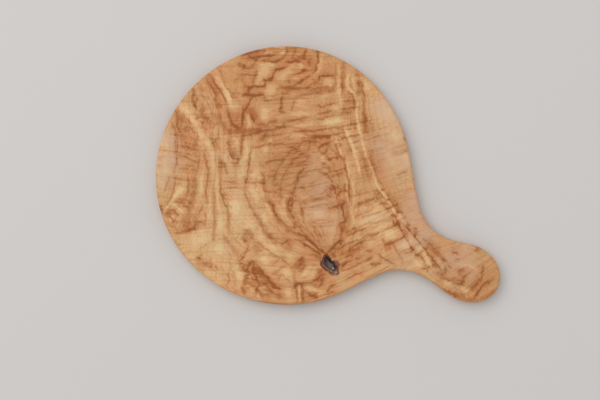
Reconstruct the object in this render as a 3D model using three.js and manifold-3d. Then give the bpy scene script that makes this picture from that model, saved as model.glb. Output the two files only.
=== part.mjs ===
// A round pizza board in olive wood: one plank sawn to a disc with a flared paddle
// handle and rounded over along its rim. The plank was sawn through a dead knot, a
// stub of branch in a ring of ingrown bark, which shows near the rim of the top face.
//
// Millimetres, +Z up. The board lies on its underside. The origin is the disc's centre
// on that underside, and +X runs from there along the handle.

import * as THREE from "three";
import { mergeVertices } from "three/addons/utils/BufferGeometryUtils.js";
import Module from "manifold-3d";

const wasm = await Module();
wasm.setup();

const degrees = THREE.MathUtils.degToRad;

// Plank. The disc was sawn by eye, so its radius swings a little on the way round.
const DISC_RADIUS = 150;
const DISC_SWINGS = [
  { count: 2, swing: 0.85, phase: degrees(100) },
  { count: 3, swing: 1.1, phase: degrees(60) },
];
const BOARD_THICKNESS = 18;
const RIM_ROUNDOVER = 4; // radius of the rounded rim, along both faces

// Handle. Its end is part of an oval.
const HANDLE_LENGTH = 131; // from the disc's circle to the tip
const HANDLE_END_HALF_LENGTH = 39; // from the oval's centre to the tip
const HANDLE_END_HALF_WIDTH = 33;

// Neck. Its sides were sawn by eye and differ a little; the left side is the +Y one.
// Each side leaves the disc's edge at its shoulder in a straight run, turns through a
// fillet, and flares straight out to the oval end of the handle.
const LEFT_SHOULDER = degrees(38.5); // from the handle's axis, about the disc's centre
const LEFT_FILLET = 55;
const LEFT_FLARE = degrees(15.2); // from the handle's axis
const RIGHT_SHOULDER = degrees(35.3);
const RIGHT_FILLET = 58.5;
const RIGHT_FLARE = degrees(7.7);

// Knot, seen from above: a lumpy oval whose long axis is turned from +X
const KNOT_X = 95.8;
const KNOT_Y = -66.8;
const KNOT_TURN = degrees(-35);
const KNOT_HALF_LENGTH = 16.6;
const KNOT_HALF_WIDTH = 6.1;
const KNOT_LUMPS = [
  { count: 1, share: 0.12, phase: 1.7 },
  { count: 2, share: 0.24, phase: 4.05 },
  { count: 3, share: 0.07, phase: 5.4 },
  { count: 5, share: 0.11, phase: 4.5 },
  { count: 8, share: 0.03, phase: 4.1 },
];

// Knot, in depth: the branch leans and thins as it goes down
const KNOT_DEPTH = 12;
const KNOT_FLOOR_SHARE = 0.62; // the oval's size at the knot's floor, against the top
const KNOT_LEAN = 5; // how far the floor lies off the mouth, along the knot's long axis
const KNOT_GAP = 0.3; // between plank, bark and core
const BARK_WALL = 2.2;
const BARK_DROP = 0.7; // from the top face down to the bark's crest
const BARK_CREST_SWING = 0.35; // the crest is ragged, by this much up and down
const CORE_DROP = 2.4; // from the top face down to the rim of the core
const CORE_CROWN = 1.1; // the core's middle stands this much above its rim

// Facets
const CHORD_ERROR = 0.05; // how far a facet may stray from the outline's true arc
const ROUNDOVER_STEPS = 5;
const KNOT_SIDES = 40;
const KNOT_LEVELS = 4;
const CROWN_STEPS = 3;

// A point given by its distance and its direction from +X.
function polar(distance, angle) {
  return new THREE.Vector2(Math.cos(angle), Math.sin(angle)).multiplyScalar(
    distance,
  );
}

// Points along a round stretch of about that radius, both ends included. It runs
// clockwise where `to` is less than `from`.
function roundStretch(from, to, radius, pointAt) {
  const step = 2 * Math.acos(1 - CHORD_ERROR / radius);
  const count = Math.ceil(Math.abs(to - from) / step);
  return Array.from({ length: count + 1 }, (_, i) =>
    pointAt(from + ((to - from) * i) / count),
  );
}

// The point of the disc's edge that lies in a direction from the disc's centre.
function discPoint(angle) {
  const radius = DISC_SWINGS.reduce(
    (sum, { count, swing, phase }) =>
      sum + swing * Math.cos(count * angle + phase),
    DISC_RADIUS,
  );
  return polar(radius, angle);
}

// The direction that the disc's edge faces at that point.
function discFacing(angle) {
  const slope = DISC_SWINGS.reduce(
    (sum, { count, swing, phase }) =>
      sum - swing * count * Math.sin(count * angle + phase),
    0,
  );
  return angle - Math.atan2(slope, discPoint(angle).length());
}

const END_X = DISC_RADIUS + HANDLE_LENGTH - HANDLE_END_HALF_LENGTH; // the oval's centre

// A point of the handle's oval end, at a turn of 0 at the tip.
function endPoint(turn) {
  return new THREE.Vector2(
    END_X + HANDLE_END_HALF_LENGTH * Math.cos(turn),
    HANDLE_END_HALF_WIDTH * Math.sin(turn),
  );
}

// The turn at which the oval's edge faces in a direction.
function endTurn(facing) {
  return Math.atan2(
    HANDLE_END_HALF_WIDTH * Math.sin(facing),
    HANDLE_END_HALF_LENGTH * Math.cos(facing),
  );
}

// The centre of a neck fillet. It lies one fillet radius outside both straight runs, so
// the fillet meets each of them in a tangent.
function filletCentre(shoulder, fillet, sideFacing) {
  const rim = polar(1, discFacing(shoulder));
  const side = polar(1, sideFacing);
  const rimReach = rim.dot(discPoint(shoulder)) + fillet;
  const sideReach = side.dot(endPoint(endTurn(sideFacing))) + fillet;
  const area = rim.cross(side);
  return new THREE.Vector2(
    (rimReach * side.y - sideReach * rim.y) / area,
    (sideReach * rim.x - rimReach * side.x) / area,
  );
}

// A neck fillet between two angles about its centre.
function neckFillet(centre, radius, from, to) {
  return roundStretch(from, to, radius, (angle) =>
    polar(radius, angle).add(centre),
  );
}

// The board's widest outline, anticlockwise from above. The straight runs of the neck
// are the chords between one round stretch and the next.
function boardOutline() {
  const leftFacing = Math.PI / 2 + LEFT_FLARE;
  const rightFacing = -Math.PI / 2 - RIGHT_FLARE;
  return [
    ...roundStretch(
      endTurn(rightFacing),
      endTurn(leftFacing),
      HANDLE_END_HALF_LENGTH,
      endPoint,
    ),
    ...neckFillet(
      filletCentre(LEFT_SHOULDER, LEFT_FILLET, leftFacing),
      LEFT_FILLET,
      leftFacing - Math.PI,
      discFacing(LEFT_SHOULDER) - Math.PI,
    ),
    ...roundStretch(
      LEFT_SHOULDER,
      2 * Math.PI - RIGHT_SHOULDER,
      DISC_RADIUS,
      discPoint,
    ),
    ...neckFillet(
      filletCentre(-RIGHT_SHOULDER, RIGHT_FILLET, rightFacing),
      RIGHT_FILLET,
      discFacing(-RIGHT_SHOULDER) + Math.PI,
      rightFacing + Math.PI,
    ),
  ];
}

// The sawn plank, rounded over along both faces.
function plank() {
  const roundover = Math.min(RIM_ROUNDOVER, BOARD_THICKNESS / 2 - CHORD_ERROR);
  return new THREE.ExtrudeGeometry(new THREE.Shape(boardOutline()), {
    depth: BOARD_THICKNESS - 2 * roundover,
    bevelThickness: roundover,
    bevelSize: roundover,
    bevelOffset: -roundover,
    bevelSegments: ROUNDOVER_STEPS,
  }).translate(0, 0, roundover);
}

// The knot's radius at the mouth, in a direction measured from its long axis.
function knotRadius(angle) {
  const oval =
    1 /
    Math.hypot(
      Math.cos(angle) / KNOT_HALF_LENGTH,
      Math.sin(angle) / KNOT_HALF_WIDTH,
    );
  const lumps = KNOT_LUMPS.map(
    ({ count, share, phase }) => share * Math.cos(count * angle + phase),
  );
  return oval * lumps.reduce((sum, lump) => sum + lump, 1);
}

// One ring round the knot at height z, drawn in by `inset` from the knot's outline and
// then shrunk about its middle to `share`. `swing` lifts it by a ragged wave.
function knotRing(z, inset, share = 1, swing = 0) {
  const down = (BOARD_THICKNESS - z) / KNOT_DEPTH;
  const thinned = 1 - (1 - KNOT_FLOOR_SHARE) * down;
  const ring = [];
  for (let i = 0; i < KNOT_SIDES; i++) {
    const angle = (2 * Math.PI * i) / KNOT_SIDES;
    const radius = (knotRadius(angle) * thinned - inset) * share;
    const wave = Math.sin(4 * angle) * Math.cos(7 * angle + 1);
    ring.push(
      new THREE.Vector3(
        radius * Math.cos(angle) - KNOT_LEAN * down,
        radius * Math.sin(angle),
        z + swing * wave,
      ),
    );
  }
  return ring;
}

// Rings evenly spaced from one height to another, both ends included.
function knotRings(bottom, top, inset) {
  return Array.from({ length: KNOT_LEVELS + 1 }, (_, i) =>
    knotRing(bottom + ((top - bottom) * i) / KNOT_LEVELS, inset),
  );
}

// A closed skin over rings that follow each other upwards, with a fan at each end,
// turned and moved to the knot's place on the board.
function knotLoft(rings) {
  const middleOf = (ring) =>
    ring
      .reduce((sum, point) => sum.add(point), new THREE.Vector3())
      .divideScalar(ring.length);
  const points = [
    ...rings.flat(),
    middleOf(rings[0]),
    middleOf(rings[rings.length - 1]),
  ];
  const floorMiddle = points.length - 2;
  const topMiddle = points.length - 1;
  const lastRing = (rings.length - 1) * KNOT_SIDES;
  const triangles = [];
  for (let i = 0; i < KNOT_SIDES; i++) {
    const next = (i + 1) % KNOT_SIDES;
    for (let low = 0; low < lastRing; low += KNOT_SIDES) {
      const high = low + KNOT_SIDES;
      triangles.push(low + i, low + next, high + next);
      triangles.push(low + i, high + next, high + i);
    }
    triangles.push(floorMiddle, next, i);
    triangles.push(topMiddle, lastRing + i, lastRing + next);
  }
  return new THREE.BufferGeometry()
    .setFromPoints(points)
    .setIndex(triangles)
    .rotateZ(KNOT_TURN)
    .translate(KNOT_X, KNOT_Y, 0);
}

// A geometry as a solid that can be cut.
function solid(geometry) {
  const bare = geometry.clone();
  bare.deleteAttribute("normal");
  bare.deleteAttribute("uv");
  const merged = mergeVertices(bare);
  return new wasm.Manifold(
    new wasm.Mesh({
      numProp: 3,
      vertProperties: new Float32Array(merged.attributes.position.array),
      triVerts: new Uint32Array(merged.index.array),
    }),
  );
}

// What is left of one geometry once another is cut away, as a geometry.
function cut(geometry, tool) {
  const { vertProperties, triVerts } = solid(geometry)
    .subtract(solid(tool))
    .getMesh();
  return new THREE.BufferGeometry()
    .setAttribute("position", new THREE.BufferAttribute(vertProperties, 3))
    .setIndex(new THREE.BufferAttribute(triVerts, 1));
}

const KNOT_FLOOR = BOARD_THICKNESS - KNOT_DEPTH;
const KNOT_SEAT = KNOT_FLOOR + KNOT_GAP; // where bark and core stand
const PAST_THE_FACE = 1; // a cutter runs this far past the face that it opens

// The plank with the pocket that the knot sits in.
function board() {
  const pocket = knotRings(
    KNOT_FLOOR,
    BOARD_THICKNESS + PAST_THE_FACE,
    -KNOT_GAP,
  );
  return cut(plank(), knotLoft(pocket));
}

// The ring of bark that lines the pocket, with a ragged crest.
function knotBark() {
  const crest = BOARD_THICKNESS - BARK_DROP;
  const wall = knotRings(KNOT_SEAT, crest - BARK_CREST_SWING, 0);
  wall.push(knotRing(crest, 0, 1, BARK_CREST_SWING));
  const bore = knotRings(
    KNOT_SEAT - PAST_THE_FACE,
    BOARD_THICKNESS + PAST_THE_FACE,
    BARK_WALL,
  );
  return cut(knotLoft(wall), knotLoft(bore));
}

// The stub of branch inside the bark, with a low weathered crown.
function knotCore() {
  const inset = BARK_WALL + KNOT_GAP;
  const rim = BOARD_THICKNESS - CORE_DROP;
  const rings = knotRings(KNOT_SEAT, rim, inset);
  for (let i = 1; i <= CROWN_STEPS; i++) {
    const along = i / (CROWN_STEPS + 1);
    const rise = CORE_CROWN * Math.sin((along * Math.PI) / 2);
    rings.push(knotRing(rim + rise, inset, 1 - along));
  }
  return knotLoft(rings);
}

function piece(name, geometry, color, roughness) {
  const material = new THREE.MeshStandardMaterial({
    color,
    roughness,
    metalness: 0,
  });
  const mesh = new THREE.Mesh(geometry, material);
  mesh.name = name;
  return mesh;
}

const pizzaBoard = new THREE.Group();
pizzaBoard.add(piece("board", board(), 0xcb9a66, 0.5));
pizzaBoard.add(piece("knot_bark", knotBark(), 0x3a2b2b, 0.8));
pizzaBoard.add(piece("knot_core", knotCore(), 0x5c564c, 0.6));

export default pizzaBoard;
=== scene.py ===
"""The looks of a round olive wood pizza board: its figured grain, its rim and its knot."""

import math
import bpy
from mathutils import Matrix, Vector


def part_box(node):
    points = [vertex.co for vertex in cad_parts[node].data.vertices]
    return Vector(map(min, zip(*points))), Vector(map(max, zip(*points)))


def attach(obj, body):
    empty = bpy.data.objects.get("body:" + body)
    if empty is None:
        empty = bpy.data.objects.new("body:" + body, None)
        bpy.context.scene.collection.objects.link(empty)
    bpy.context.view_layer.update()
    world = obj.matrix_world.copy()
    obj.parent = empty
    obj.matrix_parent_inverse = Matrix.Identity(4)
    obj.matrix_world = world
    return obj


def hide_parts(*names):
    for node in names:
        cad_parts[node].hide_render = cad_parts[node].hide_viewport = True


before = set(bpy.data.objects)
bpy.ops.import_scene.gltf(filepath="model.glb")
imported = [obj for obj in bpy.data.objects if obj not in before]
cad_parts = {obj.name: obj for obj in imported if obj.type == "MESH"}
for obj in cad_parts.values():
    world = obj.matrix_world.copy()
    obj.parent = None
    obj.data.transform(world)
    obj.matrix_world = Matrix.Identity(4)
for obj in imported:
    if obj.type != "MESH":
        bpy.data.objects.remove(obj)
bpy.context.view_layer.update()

from types import SimpleNamespace

import bpy
import numpy as np
from mathutils import Vector, noise
from mathutils.geometry import delaunay_2d_cdt

MM = 0.001
LEVEL = 0.01  # points this close in height are on one level
WIDEST = 0.001  # points this close to the board's furthest side are on its wall
PLAN_DIGITS = 3  # places on a plan that agree in so many decimals are one
WELD = 1e-6  # points of a face this close become one

# The main view looks square onto the serving face, with the handle down to the right.
# Places on the face are given upright in that view, in millimetres from the disc's
# centre: u to the right and v up.
HANDLE_DROOP = math.radians(27.9)  # the handle's axis, below the level
VIEW_CENTRE = (18.1, -27.9)
VIEW_WIDTH = 698.3
CAMERA_HEIGHT = 1500  # above the face

# Board
FACE_SPACING = 1.1  # between the points of the serving face
BACK_SPACING = 4.0
RIM_SPACING = 2.0
EDGE_SHARE = 0.6  # of the spacing, kept clear along an edge
ROUNDOVER_STEPS = 6
WALL_STEPS = 4
CURVE_STEPS = 40  # from one point to the next of a loop that is redrawn

# Knot
KNOT_GAP = 0.3
KNOT_REACH = 30  # the knot's mouth lies within this distance of its middle
KNOT_COLUMNS = 96
KNOT_SPACING = 0.6
KNOT_MARGIN = 5  # the face has finer points out to this distance from the knot's mouth
POCKET_STEPS = 6
BARK_WALL = 2.2
BARK_BROW = (  # drop below the crest and inset, from the outside to the inside
    (2, 0),
    (0.7, 0.1),
    (0.1, 0.6),
    (0, 1.1),
    (0.4, 1.7),
    (1.2, BARK_WALL),
    (3, BARK_WALL),
)
BARK_TEARS = 0.45  # how far the crest is torn up and down
BARK_TEAR_PITCH = 0.45
BARK_SUNK = 0.6  # share of the tears by which the crest is lowered
STUB_SHOULDER = 1.6  # below the top of the stub
STUB_CROWN = 1.2
STUB_RINGS = 14
STUB_LUMPS = 0.7  # height of the lumps on the crown
STUB_LUMP_PITCH = 0.5
STUB_LUMP_LEVEL = 3.0  # where their noise is cut

# Grain
GUIDE_STEP = 12  # between the points taken from a guide line
GUIDE_EASE = 30  # lets the figure pass a guide line by a little
GUIDE_TINY = 1e-9  # keeps a distance of nothing out of a logarithm
FIGURE_ORIGIN = (-0.6, 0.6)  # from the disc's centre
GRAIN_LEAN = (0.5, -0.3)  # how far the figure shifts for each millimetre of depth
GRAIN_STRAY = 0.45  # and how far it strays besides
STROKE_STEP = 1  # between the points taken from a streak
STROKE_TIP = 0.3  # share of its strength that a streak has at its ends
STROKE_TAPER = 4  # how soon it has all of it
STROKE_EDGE = 2.3  # how steeply it falls off to its sides
HALO = 3  # how far a streak's soft edge reaches
HALO_SHARE = 0.25
GLOW_REACH = 8  # how far the wood reddens beside a streak
TOP_DEPTH = 1.2  # the streaks at the top stand out more
TINT_DEPTH = 1.15
STAIN_REACH = 0.9  # of the dark rim round the knot
STAIN_RIM = 0.5

# Waves that bend the figure: their length, and a turn each for across and up
STRAY_WAVES = (60, (1.0, 2.0))
LONG_WAVES = (9, (0.5, 2.2))
SHORT_WAVES = (4, (1.4, 2.9))
SHORT_SHARE = 0.5  # of the long waves' height
STREAK_WOBBLE = 0.5
WARM_WOBBLE = 1.0
KNOT_WOBBLE = 0.35
WAVE_COUNT = 6
WAVE_HEADING = 2.4  # from one wave's heading to the next
WAVE_SHORTEST = 0.7  # of the length given
WAVE_GROWTH = 0.12  # from one wave's length to the next
WAVE_PHASE = 1.7
WAVE_PEAK = 2.4  # of their sum

# Light and background
FLOOR_COLOUR = (0.63, 0.61, 0.595)
FLOOR_ROUGHNESS = 0.9
FLOOR_REACH = 6000
WORLD_LIGHT = 0.68  # the brightness that the world alone gives a white face
KEY_LIGHT = 0.34  # and the lamp alone
KEY_SIZE = 3500
KEY_PLACE = (-1500, 1350, 3200)  # u, v and height


def to_board(u, v):
    """Upright places in the main view, as x and y on the board."""
    cos, sin = math.cos(HANDLE_DROOP), math.sin(HANDLE_DROOP)
    return u * cos - v * sin, u * sin + v * cos


def to_upright(x, y):
    """Places on the board, upright in the main view."""
    cos, sin = math.cos(HANDLE_DROOP), math.sin(HANDLE_DROOP)
    return x * cos + y * sin, y * cos - x * sin


# Figure of the wood

# Guide lines give the run of the growth rings and of the curl that crosses them. Each is a
# value and a few places along a line of that value. Both run smoothly from line to line.
RING_GUIDES = (
    (0, [(-140, 60), (-147, 20), (-147, -20)]),
    (2, [(-123, 80), (-127, 45), (-127, 10), (-133, -15), (-141, -38)]),
    (4, [(-106, 100), (-104, 60), (-104, 20), (-104, -10), (-110, -30)]),
    (6, [(-91, 114), (-79, 97), (-78, 75), (-79, 45), (-77, 28), (-77, 0), (-81, -25)]),
    (6, [(-81, -25), (-81, -50), (-84, -78), (-75, -110)]),
    (7.5, [(-77, 125), (-66, 102), (-62, 80), (-66, 40), (-69, 10), (-72, -22), (-66, -38)]),
    (7.5, [(-66, -38), (-64, -65), (-56, -92), (-48, -130)]),
    (9, [(-50, 140), (-47, 100), (-47, 60), (-49, 40), (-42, 10), (-43, -18), (-30, -50)]),
    (9, [(-30, -50), (-15, -72), (10, -90), (40, -98)]),
    (10.5, [(-30, 40), (-27, 0), (-15, -40), (5, -65), (30, -76), (47, -92)]),
    (11.5, [(10, -10), (20, -50), (38, -75)]),
    (12, [(40, -20), (45, -50), (50, -85)]),
    (11, [(62, -10), (69, -45), (60, -78), (54, -92)]),
    (10, [(58, 44), (67, 26), (74, 6), (77, -20), (78, -45), (70, -75), (62, -98)]),
    (8.5, [(65, 130), (65, 92), (70, 58), (81, 30), (90, 5), (95, -20), (95, -60), (85, -90)]),
    (7, [(86, 118), (86, 80), (90, 50), (96, 28), (104, 0), (117, -25), (128, -40)]),
    (7, [(128, -40), (145, -60), (160, -80), (175, -105), (200, -130)]),
    (4, [(110, 100), (118, 60), (125, 10), (140, -35), (160, -65), (190, -90), (240, -115)]),
    (2, [(140, 50), (150, 0), (155, -40), (180, -72), (215, -85), (245, -100)]),
    (8, [(100, -100), (130, -104), (160, -112), (185, -130)]),
)
CURL_GUIDES = (
    (11, [(-60, 135), (0, 140), (50, 138)]),
    (6, [(-100, 100), (-40, 98), (20, 100), (70, 104), (105, 108)]),
    (0, [(-140, 45), (-100, 42), (-40, 47), (20, 52), (80, 60), (130, 72)]),
    (-5, [(-145, 10), (-100, 5), (-40, 6), (10, 9), (60, 17), (100, 24), (145, 40)]),
    (-9, [(-140, -25), (-90, -28), (-40, -26), (20, -24), (80, -10), (120, 2), (150, 10)]),
    (-14, [(-120, -70), (-60, -66), (0, -66), (60, -66), (100, -50), (140, -32)]),
    (-19, [(-90, -110), (-30, -112), (40, -116), (90, -97), (140, -72), (170, -60)]),
    (-23, [(-40, -140), (20, -145), (90, -120), (130, -100), (170, -78)]),
    (-26, [(150, -110), (190, -95), (215, -85)]),
    (-31, [(200, -140), (225, -120), (245, -105)]),
)

# Streaks are the marks that stand out. Each has a strength, dark above 0 and pale below,
# a width, and places along it.
LEFT_STREAKS = (
    (0.5, 4, [(-106, 104), (-105, 96), (-106, 88), (-104, 82), (-102, 76)]),
    (0.45, 3, [(-101, 91), (-102, 84), (-103, 78)]),
    (0.35, 2.5, [(-98, 94), (-94, 92), (-90, 92), (-87, 88)]),
    (0.4, 2.5, [(-97, 80), (-95, 77), (-100, 74)]),
    (0.35, 2, [(-101, 71), (-102, 66), (-99, 64), (-96, 62), (-93, 60)]),
    (0.4, 2.5, [(-93, 71), (-90, 68), (-87, 65), (-83, 61)]),
    (0.35, 2.5, [(-94, 58), (-92, 54), (-86, 54), (-82, 57)]),
    (0.4, 2, [(-90, 45), (-85, 43), (-82, 38), (-80, 33), (-77, 27)]),
    (0.45, 2, [(-100, 47), (-100, 40)]),
    (0.4, 2.5, [(-94, 28), (-92, 21), (-90, 14), (-88, 6), (-88, 0)]),
    (0.6, 3.5, [(-92, 115), (-85, 104), (-81, 98), (-79, 90), (-78.5, 81)]),
    (0.65, 3, [(-87, 118), (-77, 103), (-72, 96), (-69, 90), (-66, 84)]),
    (0.45, 2.5, [(-77, 126), (-67, 103), (-63, 96), (-60, 90)]),
    (-0.5, 6, [(-80, 119), (-71, 102), (-66, 95), (-63, 87), (-62, 82)]),
    (0.35, 8, [(-79, 81), (-74, 80), (-72, 78)]),
    (0.35, 5, [(-77, 76), (-75, 70), (-73, 64), (-70, 58), (-66, 52)]),
    (0.6, 3.5, [(-66, 77), (-64, 70), (-62, 64), (-59, 59), (-55, 56), (-51, 56), (-49, 60)]),
    (0.45, 4, [(-49, 60), (-48, 68), (-46, 76)]),
    (0.15, 12, [(-57, 72), (-55, 62)]),
    (0.4, 6, [(-69, 52), (-60, 51), (-50, 52), (-42, 52)]),
    (0.35, 6, [(-65, 43), (-63, 35), (-61, 28), (-57, 24), (-53, 22)]),
    (0.15, 2.5, [(-66, 40), (-64.5, 31), (-62, 25), (-58, 21)]),
    (0.65, 3, [(-64, 26), (-59, 20), (-54, 19), (-50, 20)]),
    (0.6, 3.5, [(-48, 46), (-49, 38), (-49.5, 30), (-50, 22)]),
    (0.4, 3, [(-54, 19), (-53, 15), (-58, 13)]),
    (0.25, 4, [(-57, 13), (-56, 6), (-57, -1)]),
    (-0.25, 5, [(-56, 44), (-56, 38), (-55, 32)]),
    (-0.25, 9, [(-63, 83), (-55, 79)]),
    (0.4, 7, [(-125, 77), (-123, 68), (-117, 64)]),
    (0.5, 3, [(-124, 67), (-124, 58), (-122, 51)]),
    (0.45, 3, [(-118, 71), (-112, 65), (-107, 60)]),
    (0.35, 4, [(-120, 63), (-112, 62)]),
    (0.35, 10, [(-117, 56), (-112, 50)]),
    (0.3, 3, [(-119, 47), (-113, 44)]),
    (0.35, 2.5, [(-118, 39), (-112, 38), (-107, 37)]),
    (0.35, 3, [(-121, 35), (-112, 32.5), (-106, 31), (-100, 30)]),
    (0.3, 8, [(-107, 36), (-101, 33)]),
    (0.35, 2.5, [(-124, 50), (-124, 38), (-124, 26), (-125, 12)]),
    (0.3, 6, [(-105, 27), (-102, 22)]),
    (0.3, 5, [(-110, 46), (-105, 42), (-101, 38)]),
    (0.4, 3, [(-123, 51), (-120, 50)]),
    (0.35, 2.5, [(-110, 57), (-106, 53), (-104, 47)]),
    (-0.35, 8, [(-122, 82), (-114, 76), (-109, 68), (-104, 62), (-100, 54)]),
    (-0.3, 7, [(-100, 54), (-96, 46), (-92, 40), (-88, 33)]),
    (0.45, 3, [(-122, 23), (-116, 22), (-110, 19), (-103, 16.5), (-99, 15.5)]),
    (0.3, 2, [(-116, 25), (-105, 24)]),
    (0.3, 2, [(-116, 12), (-104, 11)]),
    (0.35, 3, [(-122, 9), (-115, 8), (-109, 7)]),
    (0.3, 2.5, [(-124, 21), (-126, 12), (-129, 2)]),
    (0.3, 4, [(-131, 63), (-128, 55), (-126, 48), (-126, 35), (-125, 24)]),
    (-0.2, 9, [(-138, 49), (-139, 30), (-139, 10), (-137, 0)]),
    (0.3, 2, [(-146, 30), (-135, 29)]),
    (0.3, 2, [(-145, 22), (-137, 22)]),
    (0.3, 2, [(-147, 12), (-139, 10)]),
    (0.3, 6, [(-75, 23), (-74, 12), (-76, 1)]),
    (0.45, 3, [(-71, 17), (-68, 8), (-66, 1)]),
    (0.3, 4, [(-98, 27), (-99, 15), (-100, 4)]),
    (-0.15, 5, [(-84, 30), (-82, 15), (-81, 2)]),
    (0.3, 2, [(-80, 46), (-79, 38), (-77.5, 31)]),
    (0.35, 3, [(-78, 14), (-70, 14)]),
    (0.3, 2.5, [(-63, 14.5), (-52, 14)]),
    (0.25, 2.5, [(-77, 56), (-76, 48), (-78, 40), (-76, 31)]),
    (0.25, 6, [(-80, 72), (-77, 58)]),
    (0.15, 7, [(-122, 51), (-118, 40), (-112, 29)]),
    (0.3, 8, [(-99, 102), (-90, 98)]),
    (0.4, 2.5, [(-99.5, 88), (-96, 83), (-93, 79), (-95, 71), (-89, 64), (-84, 55)]),
    (0.35, 2.2, [(-91, 88), (-88, 83), (-86, 79), (-84, 73), (-82, 68)]),
    (0.4, 2.2, [(-103, 66), (-97, 68.5), (-93, 64), (-95, 57.5)]),
    (0.15, 2.2, [(-88, 55), (-83, 40), (-80, 25), (-80, 5), (-82, -15), (-81, -35), (-81, -55), (-83, -75)]),
    (0.15, 2.2, [(-76, 45), (-74, 30), (-73, 10), (-74, -10), (-71, -28), (-66, -42), (-60, -75)]),
    (0.15, 2.2, [(-97, 50), (-93, 35), (-90, 18), (-89, 0), (-91, -18), (-90, -35)]),
)
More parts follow.
